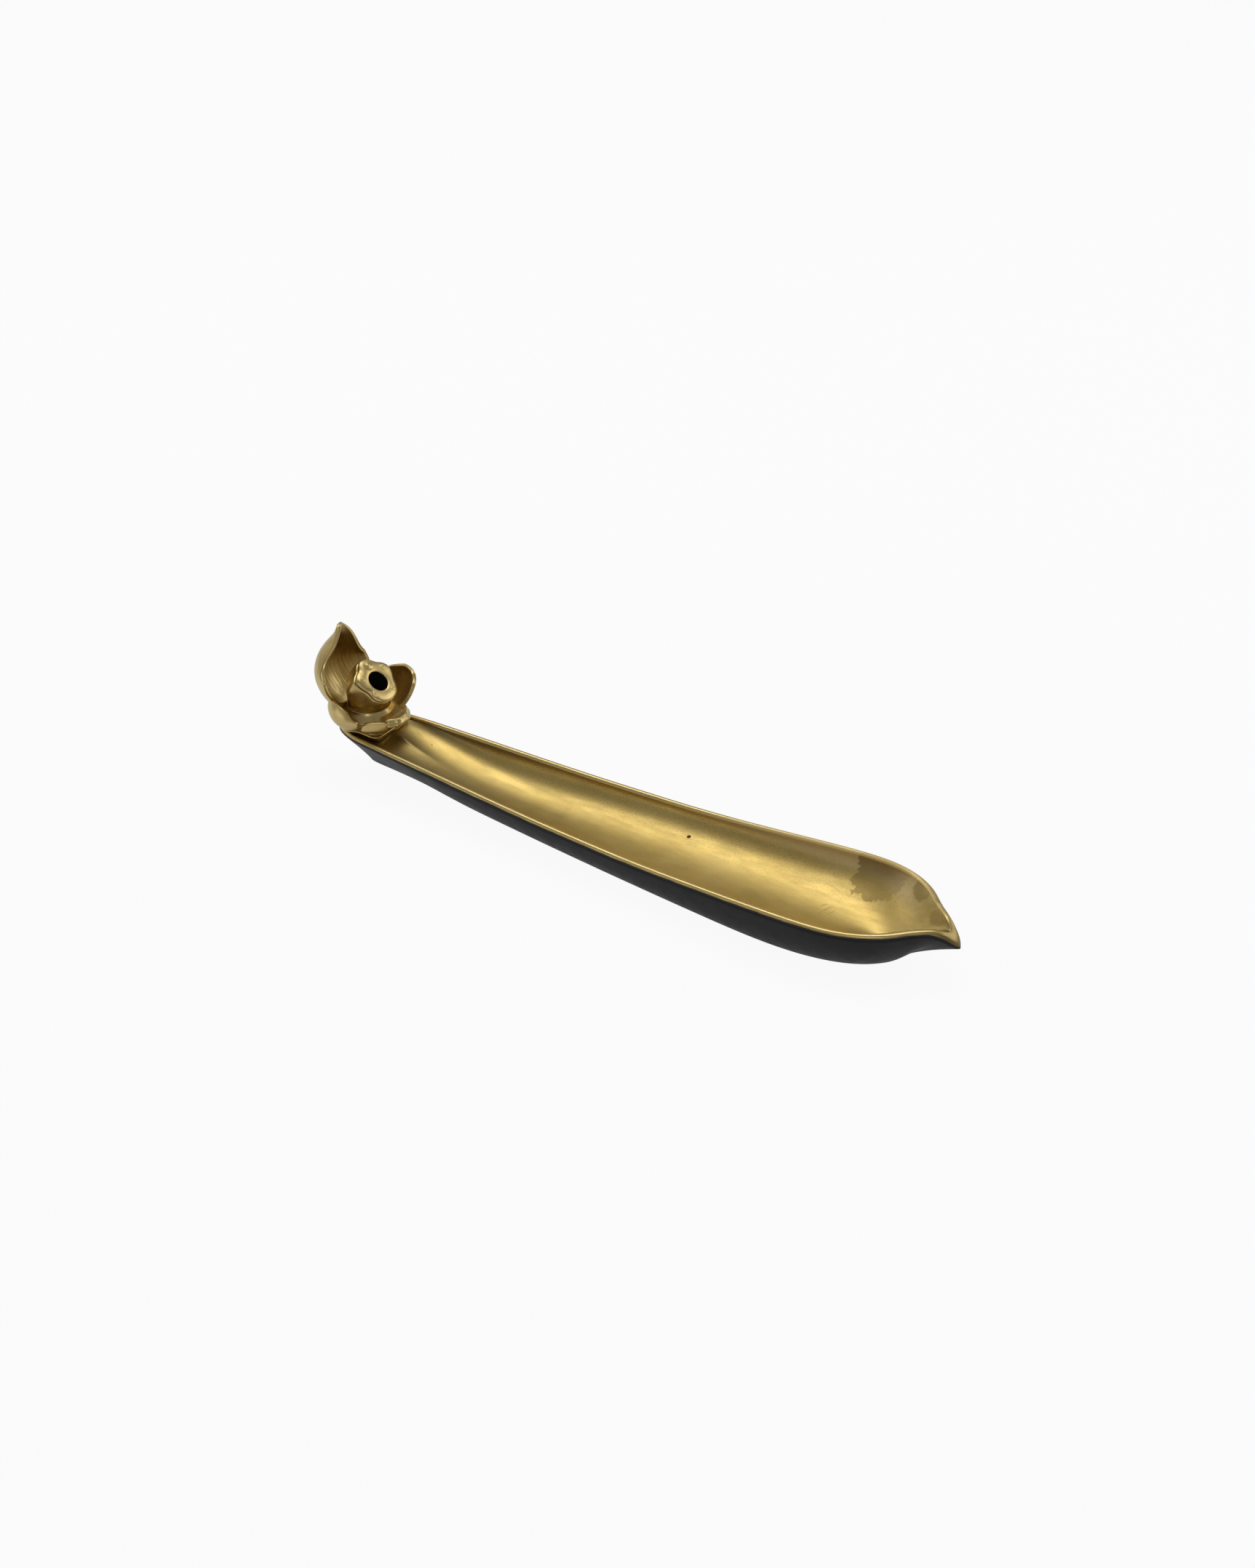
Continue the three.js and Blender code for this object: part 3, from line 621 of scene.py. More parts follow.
def foot_ring(extra):
    x = outline[:, 0]
    aft = np.maximum(0, (tip_end - BOW_REACH - x) / (TRAY_LENGTH - BOW_REACH - STERN_REACH))
    wanted = FOOT_INSET + (FOOT_INSET_STERN - FOOT_INSET) * aft**2
    wanted = wanted + (FOOT_INSET_SHOULDER - FOOT_INSET) * shoulder_share(x)
    wanted = wanted + (FOOT_INSET_TIP - FOOT_INSET_SHOULDER) * tip_share(x)
    foot = spine_of(outline, FOOT_STERN_END, FOOT_BOW_END)
    reach = np.linalg.norm(outline - foot, axis=1)
    least = np.where(x < 0, FOOT_LEAST_STERN, FOOT_LEAST_WIDTH)
    wanted = np.minimum(reach - least / 2, wanted)
    share = np.minimum(wanted + extra, reach - least / 8) / reach
    return eased_ring(outline + (foot - outline) * share[:, None], FOOT_EASE)


def wall_ring(share):
    x = outline[:, 0]
    middle = (stern_end + tip_end) / 2
    far_aft = middle - stern_end
    stern = ease(middle - x, far_aft - 1.6 * STERN_REACH, far_aft - STERN_REACH / 3)
    flank = (WALL_BULGE + (BOW_BULGE - WALL_BULGE) * shoulder_share(x)) * (1 - stern)
    bulge = flank + (-TIP_HOLLOW - flank) * ease(x, tip_end - TIP_HOLLOW_REACH, tip_end)
    outwards = share + (math.sin(share * math.pi / 2) - share) * bulge
    upwards = share + (1 - math.cos(share * math.pi / 2) - share) * bulge
    foot = foot_ring(0.0)
    flat = foot + (outline - foot) * outwards[:, None]
    return raised(flat, upwards * (rim_height(x) - BEAD_RADIUS - LINING_LAP))


# %% Pull the hull
WALL_RINGS = 16
HULL_SMOOTH_ANGLE = 60.0
CORE = LINING + SEAT

# How far inside the edge of the foot each ring of the underside lies, and its height
UNDERSIDE = [
    (FOOT_RIM + 1.2, FOOT_RECESS), (FOOT_RIM, 0.8 * FOOT_RECESS), (FOOT_RIM - 0.3, 0.0),
    (0.5, 0.0), (0.2, 0.0),
]
WALL_START = 0.02

rings = [raised(spine_of(outline, FOOT_STERN_END, FOOT_BOW_END), FOOT_RECESS)]
rings += [raised(foot_ring(extra), height) for extra, height in UNDERSIDE]
rings += [wall_ring(share) for share in np.linspace(WALL_START, 1, WALL_RINGS)]
rings += [lap_ring(LINING_LAP, CORE)]
rings += [bead_ring(a, CORE) for a in bead_angles[::-1]]
rings += [trough_ring(a, CORE) for a in trough_angles[::-1]]
hull = pull_rings("hull_fine", rings)
smooth_skin(hull, 1, HULL_SMOOTH_ANGLE)
print("hull rings:", len(rings))

# %% [markdown]
# ## The petals
#
# Each petal was pinched from a slab of clay: a crescent in section, carried along a bent middle
# line, with a rim that was wiped flat. On three petals the rim has a groove between two fine
# edges, and the low petals in front are filled to thick lumps. A row of the petal is a closed
# ring round its crescent, and the rows are pulled from root to tip. The tall petal at the back
# also has the furrows that a finger or a tool left as it was stroked upwards.

# %% Shape of a petal
FLOWER_X = stern_end + 12.0
PETAL_COLUMNS = 12
PETAL_ROWS = 14
RIM_FLAT = 0.7
EDGE_ROUND = 0.35
EDGE_SUPPORT = 0.6
# Turns of the rows that round the tip off, and how far the last of them reaches on
TIP_TURNS = (0.35, 0.8, 1.2)
TIP_REACH = 0.4
FAINT_STROKES = 0.3
PETAL_LEVELS = 2


def along(values, share):
    """Value at a share of the way through a list, on a curve that bends without jumps."""
    values = np.asarray(values, float)
    last = len(values) - 1
    ties, pull = np.eye(last + 1), np.zeros_like(values)
    for k in range(1, last):
        ties[k, k - 1 : k + 2] = 1, 4, 1
        pull[k] = 6 * (values[k - 1] - 2 * values[k] + values[k + 1])
    bend = np.linalg.solve(ties, pull)
    k = min(int(share * last), last - 1)
    t = share * last - k
    straight = (1 - t) * values[k] + t * values[k + 1]
    return straight + (((1 - t) ** 3 - (1 - t)) * bend[k] + (t**3 - t) * bend[k + 1]) / 6


def petal_row(form, share, shrink=1.0, beyond=0.0):
    """One closed ring of a petal: corners, how far across each lies (-1 to 1), inner side or not."""
    turn = math.radians(form["azimuth"])
    out = np.array([math.cos(turn), math.sin(turn), 0])
    side = np.array([-math.sin(turn), math.cos(turn), 0])
    up = np.array([0, 0, 1.0])
    middle = along(form["spine"], share)
    ahead = along(form["spine"], min(1, share + 1e-4)) - along(form["spine"], max(0, share - 1e-4))
    ahead /= np.linalg.norm(ahead)
    middle = middle + ahead * beyond
    centre = np.array([FLOWER_X, 0, 0]) + out * middle[0] + up * middle[1]
    centre = centre + side * form["skew"] * share**2
    inwards = -ahead[1] * out + ahead[0] * up
    radius = along(form["cup"], share)
    thick = form["thickness"] / 2 * shrink
    start, stop = (math.radians(along(form[key], share)) for key in ("left", "right"))
    mid, half = (stop - start) / 2, (start + stop) / 2 * shrink
    round_off, support = EDGE_ROUND * thick / radius, EDGE_SUPPORT * thick / radius
    inside = 1 - support / half
    places = np.concatenate([[-1], np.linspace(-inside, inside, PETAL_COLUMNS), [1]])
    face = [(mid + half * place, place) for place in places]
    fill = along(form.get("fill", [0, 0]), share) * shrink
    groove = form.get("groove", 0.0) * shrink / radius
    ring = [(mid - half - round_off, -RIM_FLAT * thick, -1.0), (mid - half + groove, 0.0, -1.0)]
    ring += [(mid - half - round_off, RIM_FLAT * thick, -1.0)]
    ring += [(angle, thick, place) for angle, place in face]
    ring += [(mid + half + round_off, RIM_FLAT * thick, 1.0), (mid + half - groove, 0.0, 1.0)]
    ring += [(mid + half + round_off, -RIM_FLAT * thick, 1.0)]
    ring += [(angle, -thick - fill * (1 - place * place), place) for angle, place in face[::-1]]
    corners = [
        centre + side * (radius + depth) * math.sin(angle)
        + inwards * (radius - (radius + depth) * math.cos(angle))
        for angle, depth, _ in ring
    ]
    across = np.array([place for _, _, place in ring])
    inner = np.array([depth < 0 for _, depth, _ in ring])
    return np.array(corners), across, inner


def pull_petal(name, form):
    rows = [petal_row(form, share) for share in np.linspace(0, 1, PETAL_ROWS + 1)]
    reach = TIP_REACH * form["thickness"]
    rows += [petal_row(form, 1.0, math.cos(turn), reach * math.sin(turn)) for turn in TIP_TURNS]
    steps = np.linspace(0, 1, len(rows))
    notes = {
        "across": [row[1] for row in rows],
        "inner": [row[2] * form.get("strokes", FAINT_STROKES) for row in rows],
        "along": [np.full(len(rows[0][1]), step) for step in steps],
    }
    petal = pull_rings(name, [row[0] for row in rows], notes)
    return smooth_skin(petal, form.get("levels", PETAL_LEVELS))


# %% Forms of the six petals
# azimuth: the way it leans. spine: (outwards, upwards) places of its middle line. cup: radius of
# the crescent. left and right: its reach to both sides in degrees. skew: sideways drift at the tip.
PETALS = {
    "back_petal": {
        "azimuth": 184,
        "spine": [
            (9.6, 20), (13, 21.3), (17.4, 25.6), (20.7, 33.5), (18.9, 41.2), (14.4, 46.8),
            (12.7, 50.75),
        ],
        "cup": [9, 10.5, 12.5, 12.8, 10.2, 6.4, 3.7],
        "left": [54, 67, 76, 73, 83, 65, 15],
        "right": [58, 68, 71, 74, 61, 59, 42],
        "skew": -1.1,
        "thickness": 1.7,
        "groove": 0.5,
        "strokes": 1.0,
        "levels": 3,
    },
    "far_petal": {
        "azimuth": 74,
        "spine": [(4, 18.6), (8.2, 21.2), (12.1, 25.8), (14, 30.8), (13.7, 33.7)],
        "cup": [10, 11, 12, 12, 12],
        "left": [25, 42, 50, 45, 25],
        "right": [30, 42, 46, 38, 10],
        "skew": -1.6,
        "thickness": 1.3,
        "groove": 0.2,
    },
    "near_petal": {
        "azimuth": -115,
        "spine": [(4, 17.4), (9.6, 17.8), (13.8, 19.8), (15.2, 23.6), (13.8, 27.0)],
        "cup": [9, 10, 11, 11.4, 12],
        "left": [29, 40, 45, 42, 26],
        "right": [38, 46, 52, 50, 28],
        "skew": -1.2,
        "thickness": 1.5,
        "groove": 0.3,
    },
    "far_rear_petal": {
        "azimuth": 126,
        "spine": [(4, 17.4), (9.4, 17.9), (13.2, 19.8), (14.9, 23.4), (13.8, 27.6)],
        "cup": [9, 10, 11, 11.4, 12],
        "left": [28, 40, 42, 37, 20],
        "right": [29, 40, 45, 42, 26],
        "skew": 1.0,
        "thickness": 1.5,
    },
    "front_petal": {
        "azimuth": 4,
        "spine": [(4.6, 19.7), (8.0, 20.0), (10.8, 20.4), (12.7, 21.4)],
        "cup": [14, 14, 13, 12],
        "left": [18, 26, 29, 19],
        "right": [19, 26, 25, 12],
        "skew": -0.6,
        "thickness": 2.9,
        "fill": [0.6, 1.1, 0.9, 0.2],
    },
    "front_near_petal": {
        "azimuth": -52,
        "spine": [(4, 18.2), (7.6, 18.0), (10.8, 19.2), (11.3, 22.0)],
        "cup": [9, 10.5, 13, 24],
        "left": [22, 24, 19, 9],
        "right": [22, 21, 17, 8],
        "skew": 0.6,
        "thickness": 2.2,
        "fill": [1.2, 1.2, 0.9, 0.3],
    },
}

# %% Pull the petals and stroke the tall one
FURROWS = 9
FURROW_DEPTH = 0.26
FURROW_SLANT = 0.12
# Middle and half width of the stroked patch, as shares across and along the petal
PATCH_ACROSS = (0.15, 0.4)
PATCH_ALONG = (0.52, 0.2)


def stroked(piece):
    """Sink soft furrows along the inner side of a petal, deepest in its middle."""
    count = len(piece.data.vertices)
    corners, outwards = np.empty(3 * count), np.empty(3 * count)
    piece.data.vertices.foreach_get("co", corners)
    piece.data.vertices.foreach_get("normal", outwards)
    notes = {}
    for key in ("across", "along", "inner"):
        notes[key] = np.empty(count)
        piece.data.attributes[key].data.foreach_get("value", notes[key])
    slanted = notes["across"] + FURROW_SLANT * notes["along"]
    wave = 0.5 - 0.5 * np.cos(2 * math.pi * FURROWS * slanted)
    off_across = (notes["across"] - PATCH_ACROSS[0]) / PATCH_ACROSS[1]
    off_along = (notes["along"] - PATCH_ALONG[0]) / PATCH_ALONG[1]
    middle = np.exp(-(off_across**2) - off_along**2)
    sunk = -FURROW_DEPTH * MM * wave * middle * notes["inner"]
    piece.data.vertices.foreach_set("co", corners + outwards * np.repeat(sunk, 3))
    piece.data.update()


petal_pieces = {name: pull_petal(name + "_fine", form) for name, form in PETALS.items()}
stroked(petal_pieces["back_petal"])
print("petals:", list(petal_pieces), "furrows:", FURROWS)

# %% [markdown]
# ## The pod
#
# The lotus pod is a cone of clay with a tilted lid. The lid's edge is pinched into soft lobes,
# it is bored for the stick, and seeds are pressed round the bore. The lid and the body are two
# skins pulled round the same bore, with a dark slit between them where the lid was set on. The
# rings in the bore are noted, so that the finish can paint them black as shade.

# %% Shape of the pod
POD_TILT = math.radians(40)
POD_BASE = np.array([FLOWER_X - 3.1, -0.2, 20.8])
POD_TOP = np.array([FLOWER_X + 2.0, 0, 34.0])
POD_NORMAL = np.array([math.sin(POD_TILT), 0, math.cos(POD_TILT)])
POD_DOWNHILL = np.array([math.cos(POD_TILT), 0, -math.sin(POD_TILT)])
ACROSS = np.array([0, 1.0, 0])
LID_THICKNESS = 1.7
POD_SIDES = 72
POD_BELLY = math.radians(213)
# Angle from the downhill side towards +Y, and radius
POD_LOBES = [
    (1, 8.7), (22, 8.7), (42, 8.2), (62, 7.4), (84, 8.0), (103, 8.7), (118, 8.2), (135, 7.4),
    (150, 7.8), (163, 8.3), (184, 8.4), (198, 7.6), (209, 6.9), (227, 7.5), (248, 8.3), (267, 7.4),
    (289, 6.7), (308, 7.8), (325, 8.5), (343, 8.7),
]


def closed_curve(places, count):
    """A closed smooth line through (angle in degrees, radius), as angles and radii."""
    corners = [(r * math.cos(math.radians(a)), r * math.sin(math.radians(a))) for a, r in places]
    line = curve_through([*corners[-3:], *corners, *corners[:3]], 40)
    angle = np.unwrap(np.arctan2(line[:, 1], line[:, 0]))
    radius = np.linalg.norm(line, axis=1)
    turns = np.linspace(0, 2 * math.pi, count, endpoint=False)
    start = angle[np.argmin(np.abs(angle))]
    return turns, np.interp(turns, angle - start, radius)


turns, lobes = closed_curve(POD_LOBES, POD_SIDES)
print("pod lobes from", round(lobes.min(), 2), "to", round(lobes.max(), 2), "mm")


def pod_ring(centre, tilt, radius):
    downhill = np.array([math.cos(tilt), 0, -math.sin(tilt)])
    reach = np.broadcast_to(radius, POD_SIDES)
    down, sideways = np.cos(turns) * reach, np.sin(turns) * reach
    return centre + down[:, None] * downhill + sideways[:, None] * ACROSS


# %% The bore for the stick
BORE_TILT = math.radians(34)
BORE_OFFSET = 0.8
BORE_RADIUS = 3.5
BORE_END_RADIUS = 2.6
BORE_DEPTH = 12.0
BORE_AXIS = np.array([math.sin(BORE_TILT), 0, math.cos(BORE_TILT)])
BORE_MOUTH = POD_TOP + POD_DOWNHILL * BORE_OFFSET


def bore_ring(depth, wider=0.0):
    """Ring on the bore's wall, at a depth under the mouth, in the plane of the lid."""
    radius = BORE_RADIUS + (BORE_END_RADIUS - BORE_RADIUS) * depth / BORE_DEPTH + wider
    return pod_ring(BORE_MOUTH - BORE_AXIS * depth, POD_TILT, radius)


# %% Pull the pod's body
POD_STEPS = 16
POD_WAIST = 6.4
POD_KNEE = 0.45
BODY_MARGIN = 0.3
BELLY_RISE = 1.5
BELLY_WIDTH = 0.9
# Height over the body's lip and margin to the lobes of the two rings that round it off
BODY_LIP = [(0.1, 0.7), (0.0, 1.3)]
BORE_DEPTHS = (LID_THICKNESS + SEAT, 4, 6, 9, BORE_DEPTH)


def pod_body_rings():
    lip = POD_TOP - POD_NORMAL * (LID_THICKNESS + SEAT)
    knee = lip - POD_NORMAL * POD_KNEE * np.linalg.norm(lip - POD_BASE)
    bulge = np.exp(-((turns - POD_BELLY) / BELLY_WIDTH) ** 2)
    rings = []
    for share in np.linspace(0, 1, POD_STEPS):
        centre = POD_BASE * (1 - share) ** 2 + knee * 2 * share * (1 - share) + lip * share**2
        scallop = ease(share, 0.1, 0.95)
        belly = BELLY_RISE * math.sin(math.pi * ease(share, 0.0, 1.25)) * bulge
        radius = POD_WAIST + (lobes - BODY_MARGIN - POD_WAIST) * scallop + belly
        rings.append(pod_ring(centre, share * POD_TILT, radius))
    rings += [pod_ring(lip + POD_NORMAL * up, POD_TILT, lobes - back) for up, back in BODY_LIP]
    rings += [bore_ring(depth) for depth in BORE_DEPTHS]
    rings.append(bore_ring(BORE_DEPTH + 0.1, -2.0))
    return rings


def bored(rings, inside):
    """Notes that mark which rings lie in the bore, where the finish paints shade."""
    return {"bored": [np.full(POD_SIDES, float(n in inside)) for n in range(len(rings))]}


body_rings = pod_body_rings()
bore_start = len(body_rings) - len(BORE_DEPTHS) - 1
bore_notes = bored(body_rings, range(bore_start, len(body_rings)))
pod_body = pull_rings("pod_body_fine", body_rings, bore_notes)
smooth_skin(pod_body, 1)
print("pod rings:", len(body_rings), "of them in the bore:", len(BORE_DEPTHS) + 1)


# %% Pull the lid
# Place downhill and sideways, width and rise of each lump
LUMPS = [
    (-5.6, 0.6, 2.8, 0.12), (-2.2, 5.5, 2.2, 0.12), (5.7, 3.0, 2.2, 0.1), (3.9, -4.8, 2.4, 0.12),
    (-2.4, -5.2, 2.2, 0.12), (0.9, 6.6, 1.8, -0.08), (-4.6, -3.6, 1.8, -0.08), (5.9, -1.0, 2.1, 0.08),
]


def lumpy(points):
    """Soft lumps that the fingers left, as heights over the lid's plane."""
    flat = points - POD_TOP
    down, side = flat @ POD_DOWNHILL, flat @ ACROSS
    height = np.zeros(len(points))
    for at_down, at_side, width, rise in LUMPS:
        height += rise * np.exp(-((down - at_down) ** 2 + (side - at_side) ** 2) / width**2)
    return points + height[:, None] * POD_NORMAL


LID_STEPS = 8
LID_SWELL = 0.15
LID_TOP_EDGE = (0.1, 0.7)
MOUTH_WIDER = 0.4
# Depth under the mouth and widening of the bore's rings
LID_BORE = [(LID_THICKNESS + 0.05, 0.1), (0.9, 0.15), (0.35, 0.17), (0.06, 0.24)]
# Depth under the lid's plane and margin to the lobes of the rings round its edge
LID_EDGE = [(0.35, -0.22), (0.75, 0.0), (1.15, -0.1), (1.5, -0.5), (1.7, -1.1), (1.7, -1.6)]


def lid_rings():
    rings = [bore_ring(depth, wider) for depth, wider in LID_BORE]
    mouth = bore_ring(0, MOUTH_WIDER)
    depth, margin = LID_TOP_EDGE
    edge = pod_ring(POD_TOP - POD_NORMAL * depth, POD_TILT, lobes - margin)
    for share in np.linspace(0, 1, LID_STEPS):
        swell = LID_SWELL * math.sin(math.pi * share)
        rings.append(lumpy(mouth + (edge - mouth) * share) + POD_NORMAL * swell)
    for depth, margin in LID_EDGE:
        rings.append(pod_ring(POD_TOP - POD_NORMAL * depth, POD_TILT, lobes + margin))
    rings.append(bore_ring(*LID_BORE[0]))
    return rings


face_rings = lid_rings()
face_notes = bored(face_rings, (0, 1, 2, len(face_rings) - 1))
lid = pull_rings("pod_face_fine", face_rings, face_notes)
smooth_skin(lid, 1)
print("lid rings:", len(face_rings))

# %% [markdown]
# ## The seeds
#
# Five seeds sit on the lid. The upper one is a ring round a small dome and stands proud; the
# others were half wiped away. One half section is drawn and spun round its own axis, which is
# how a turned form is made. A ray straight into the lid then finds where each seed rests on its
# uneven face, and each seed gets its own mesh.

# %% Spin the seeds
# Place downhill and sideways, radius and rise
SEEDS = [
    (-5.4, 0.7, 1.75, 0.32), (-2.2, 5.5, 1.2, 0.06), (5.7, 3.0, 1.0, 0.05), (3.9, -4.8, 1.3, 0.05),
    (-2.4, -5.0, 1.2, 0.07),
]
# Share of the radius, and of the rise where it is over the lid
SEED_SECTION = [
    (0, -1), (1, -1), (1.04, -0.2), (1.0, 0.35), (0.94, 0.75), (0.84, 0.9), (0.74, 0.75), (0.66, 0.4),
    (0.6, 0.3), (0.5, 0.55), (0.36, 0.85), (0.18, 1.0), (0, 1.05),
]
SEED_ROOT = 0.9
SEED_STEPS = 40
SPUN_SAME_PLACE = 0.01
RAY_HEIGHT = 5.0


def spin_seed(name, down, side, radius, rise):
    section = [(r * radius, 0, h * (rise if h > 0 else SEED_ROOT)) for r, h in SEED_SECTION]
    bpy.ops.object.select_all(action="DESELECT")
    bpy.ops.mesh.primitive_circle_add(vertices=3, radius=MM)
    seed = bpy.context.object
    seed.name = seed.data.name = name
    bpy.ops.object.mode_set(mode="EDIT")
    bpy.ops.mesh.delete(type="VERT")
    mesh = bmesh.from_edit_mesh(seed.data)
    corners = [mesh.verts.new(Vector(p) * MM) for p in section]
    for a, b in zip(corners, corners[1:]):
        mesh.edges.new((a, b))
    bmesh.update_edit_mesh(seed.data)
    bpy.ops.mesh.select_all(action="SELECT")
    bpy.ops.mesh.spin(steps=SEED_STEPS, angle=2 * math.pi, center=(0, 0, 0), axis=(0, 0, 1))
    bpy.ops.mesh.select_all(action="SELECT")
    bpy.ops.mesh.remove_doubles(threshold=SPUN_SAME_PLACE * MM)
    bpy.ops.mesh.normals_make_consistent(inside=False)
    bpy.ops.transform.rotate(value=-POD_TILT, orient_axis="Y", center_override=(0, 0, 0))
    above = POD_TOP + POD_DOWNHILL * down + ACROSS * side + POD_NORMAL * RAY_HEIGHT
    _, rest, _, _ = lid.ray_cast(Vector(above) * MM, Vector(-POD_NORMAL))
    bpy.ops.transform.translate(value=rest)
    bpy.ops.object.mode_set(mode="OBJECT")
    return smooth_skin(seed, 1)


bpy.context.view_layer.update()
seed_pieces = [spin_seed(f"pod_seed_{n + 1}_fine", *seed) for n, seed in enumerate(SEEDS)]
print("seeds:", len(seed_pieces))

# %% [markdown]
# ## The collar and the foot of the flower
#
# Petals and pod are luted to a collar, a dish with a sharp wavering crest where the pod's clay was
# smeared outwards. Its rings are pulled from below, out over the dish's brim, up to the crest,
# which leans towards the bow, and level inwards under the pod. Below it a lump of clay holds the
# flower on the trough, and the slip that was squeezed out runs round it as a wavy ridge. Rays
# looking straight down find the trough under each corner of the lump, so that it sits close.

# %% Pull the collar
COLLAR_X = FLOWER_X - 3.4
CREST_SHIFT = np.array([1.6, -0.4])
COLLAR_SIDES = 72
# Radius, height and share of the crest's shift
COLLAR_SECTION = [
    (3.0, 18.4, 0), (7.0, 18.4, 0), (10.4, 18.5, 0), (11.1, 18.9, 0), (11.2, 19.6, 0),
    (10.8, 20.3, 0.2), (10.0, 21.0, 0.5), (9.2, 21.7, 0.8), (8.5, 22.3, 1), (8.0, 22.9, 1),
    (7.75, 23.4, 1), (7.6, 23.7, 1), (7.4, 23.7, 1), (7.25, 23.4, 1), (7.0, 23.1, 1),
    (6.4, 23.0, 0.8), (4.0, 23.0, 0.5),
]
CREST_WAVER = 0.12
# Where the dish reaches on towards the bow: how far, from which radius over which width, and
# in which direction most
DISH_REACH = 1.3
DISH_START, DISH_WIDTH = 8.0, 3.2
DISH_TURN = math.radians(-22)
collar_turns = np.linspace(0, 2 * math.pi, COLLAR_SIDES, endpoint=False)


def collar_ring(radius, height, shift):
    waves = np.sin(3 * collar_turns + 0.6) + 0.6 * np.sin(7 * collar_turns + 2.0)
    waver = CREST_WAVER * shift * waves
    outer = max(0.0, (radius - DISH_START) / DISH_WIDTH)
    ahead = np.maximum(0, np.cos(collar_turns - DISH_TURN)) ** 2 * outer
    radius = radius + DISH_REACH * ahead
    return np.column_stack([
        COLLAR_X + CREST_SHIFT[0] * shift + np.cos(collar_turns) * (radius + waver),
        CREST_SHIFT[1] * shift + np.sin(collar_turns) * (radius + waver),
        height + 0.8 * waver,
    ])


collar = pull_rings("collar_fine", [collar_ring(*place) for place in COLLAR_SECTION])
smooth_skin(collar, 1)
print("collar rings:", len(COLLAR_SECTION))

# %% Pull the foot and its ridge of slip
# Angle from the bow side towards +Y, and radius
SLIP_LOBES = [
    (-50, 11.2), (-24, 9), (2, 8.3), (28, 10), (55, 12), (98, 9.2),
    (140, 11), (180, 10.6), (222, 12), (245, 11.2), (266, 9),
]
SLIP_SIDES = 96
SLIP_HEIGHT = 16.0
# Distance to the ridge's edge and height over SLIP_HEIGHT of the rings over it
SLIP_RIDGE = [(1.0, -0.5), (0.3, -0.3), (0.0, 0.1), (0.1, 0.45), (0.5, 0.55), (1.1, 0.4)]
# Radius and height of the rings between the ridge and the collar
FOOT_TOP = [(9.2, 17.0), (9.0, 18.1), (3.0, 18.3)]
FOOT_SUNK = 0.25
FOOT_SHADE = 0.42
UNDER_RIDGE = 0.6
NO_TROUGH = 14.0
LOOK_FROM = 100.0
slip_turns, slip = closed_curve(sorted((a % 360, r) for a, r in SLIP_LOBES), SLIP_SIDES)


def slip_ring(radius, height):
    reach = np.broadcast_to(radius, SLIP_SIDES)
    return np.column_stack([
        FLOWER_X + np.cos(slip_turns) * reach,
        np.sin(slip_turns) * reach,
        np.broadcast_to(height, SLIP_SIDES),
    ])


def on_trough(radius):
    """A ring of the foot that follows the trough, a little below its surface."""
    ring = slip_ring(radius, 0)
    for corner in ring:
        start = Vector((corner[0] * MM, corner[1] * MM, LOOK_FROM * MM))
        hit, place, _, _ = lining.ray_cast(start, Vector((0, 0, -1)))
        corner[2] = place.z / MM if hit else NO_TROUGH
    ring[:, 2] = np.minimum(ring[:, 2], SLIP_HEIGHT - UNDER_RIDGE) - FOOT_SUNK
    return ring


bpy.context.view_layer.update()
sunk_rings = [on_trough(2.0), on_trough(5.6), on_trough(slip - 1.5)]
rings = sunk_rings + [slip_ring(slip - back, SLIP_HEIGHT + up) for back, up in SLIP_RIDGE]
rings += [slip_ring(radius, height) for radius, height in FOOT_TOP]
# The sunk rings of the foot are noted for painted shade under the slip ridge
shaded = [np.full(SLIP_SIDES, FOOT_SHADE if n < len(sunk_rings) else 0.0) for n in range(len(rings))]
flower_foot = pull_rings("flower_foot_fine", rings, {"bored": shaded})
smooth_skin(flower_foot, 1)
lowest, highest = (round(pick(sunk_rings[-1][:, 2]), 2) for pick in (np.min, np.max))
print("the foot of the flower stands at", lowest, "to", highest, "mm")

# %% [markdown]
# ## Black glaze
#
# The outside is a satin black glaze. It isn't one flat black: it is a little bluer where it is
# thick and browner where it is thin, it has a fine orange-peel skin, and pale dust sits on it.
# The ring of the foot is wiped clean, so the bare clay shows there.

# %% Mix the black glaze
GLAZE_THIN = (0.0062, 0.006, 0.0062)
GLAZE_THICK = (0.0075, 0.0078, 0.0098)
DUST = (0.06, 0.058, 0.056)
CLAY_DARK = (0.42, 0.34, 0.25)
CLAY_LIGHT = (0.55, 0.47, 0.37)


def black_glaze():
    finish, tree, shader = new_finish("black_glaze")
    place = place_of(tree)
    cloudy = noise(tree, place, 90.0)
    thick = blend(tree, between(tree, cloudy, 0.35, 0.65), GLAZE_THIN, GLAZE_THICK)
    fine = noise(tree, place, 2600.0, 2.0)
    dusty = blend(tree, between(tree, fine, 0.70, 0.80, 0.0, 0.2), thick, DUST)
    height = add_node(tree, "ShaderNodeSeparateXYZ", Vector=place).outputs["Z"]
    wobble = sums(tree, "ADD", height, times(tree, sums(tree, "SUBTRACT", cloudy, 0.5), 0.9 * MM))
    bare = zone(tree, wobble, 0.25, 0.6, 1.0, 0.0)
    clay = blend(tree, between(tree, noise(tree, place, 700.0), 0.3, 0.7), CLAY_DARK, CLAY_LIGHT)
    tree.links.new(blend(tree, bare, dusty, clay), shader.inputs["Base Color"])
    gloss = between(tree, noise(tree, place, 260.0), 0.3, 0.7, 0.34, 0.44)
    gloss = sums(tree, "MAXIMUM", gloss, times(tree, bare, 0.85))
    tree.links.new(gloss, shader.inputs["Roughness"])
    shader.inputs["Specular IOR Level"].default_value = 0.26
    peel = bumped(tree, noise(tree, place, 420.0, 3.0), 0.12 * MM, 0.5)
    tree.links.new(bumped(tree, fine, 0.03 * MM, 0.4, peel), shader.inputs["Normal"])
    return finish


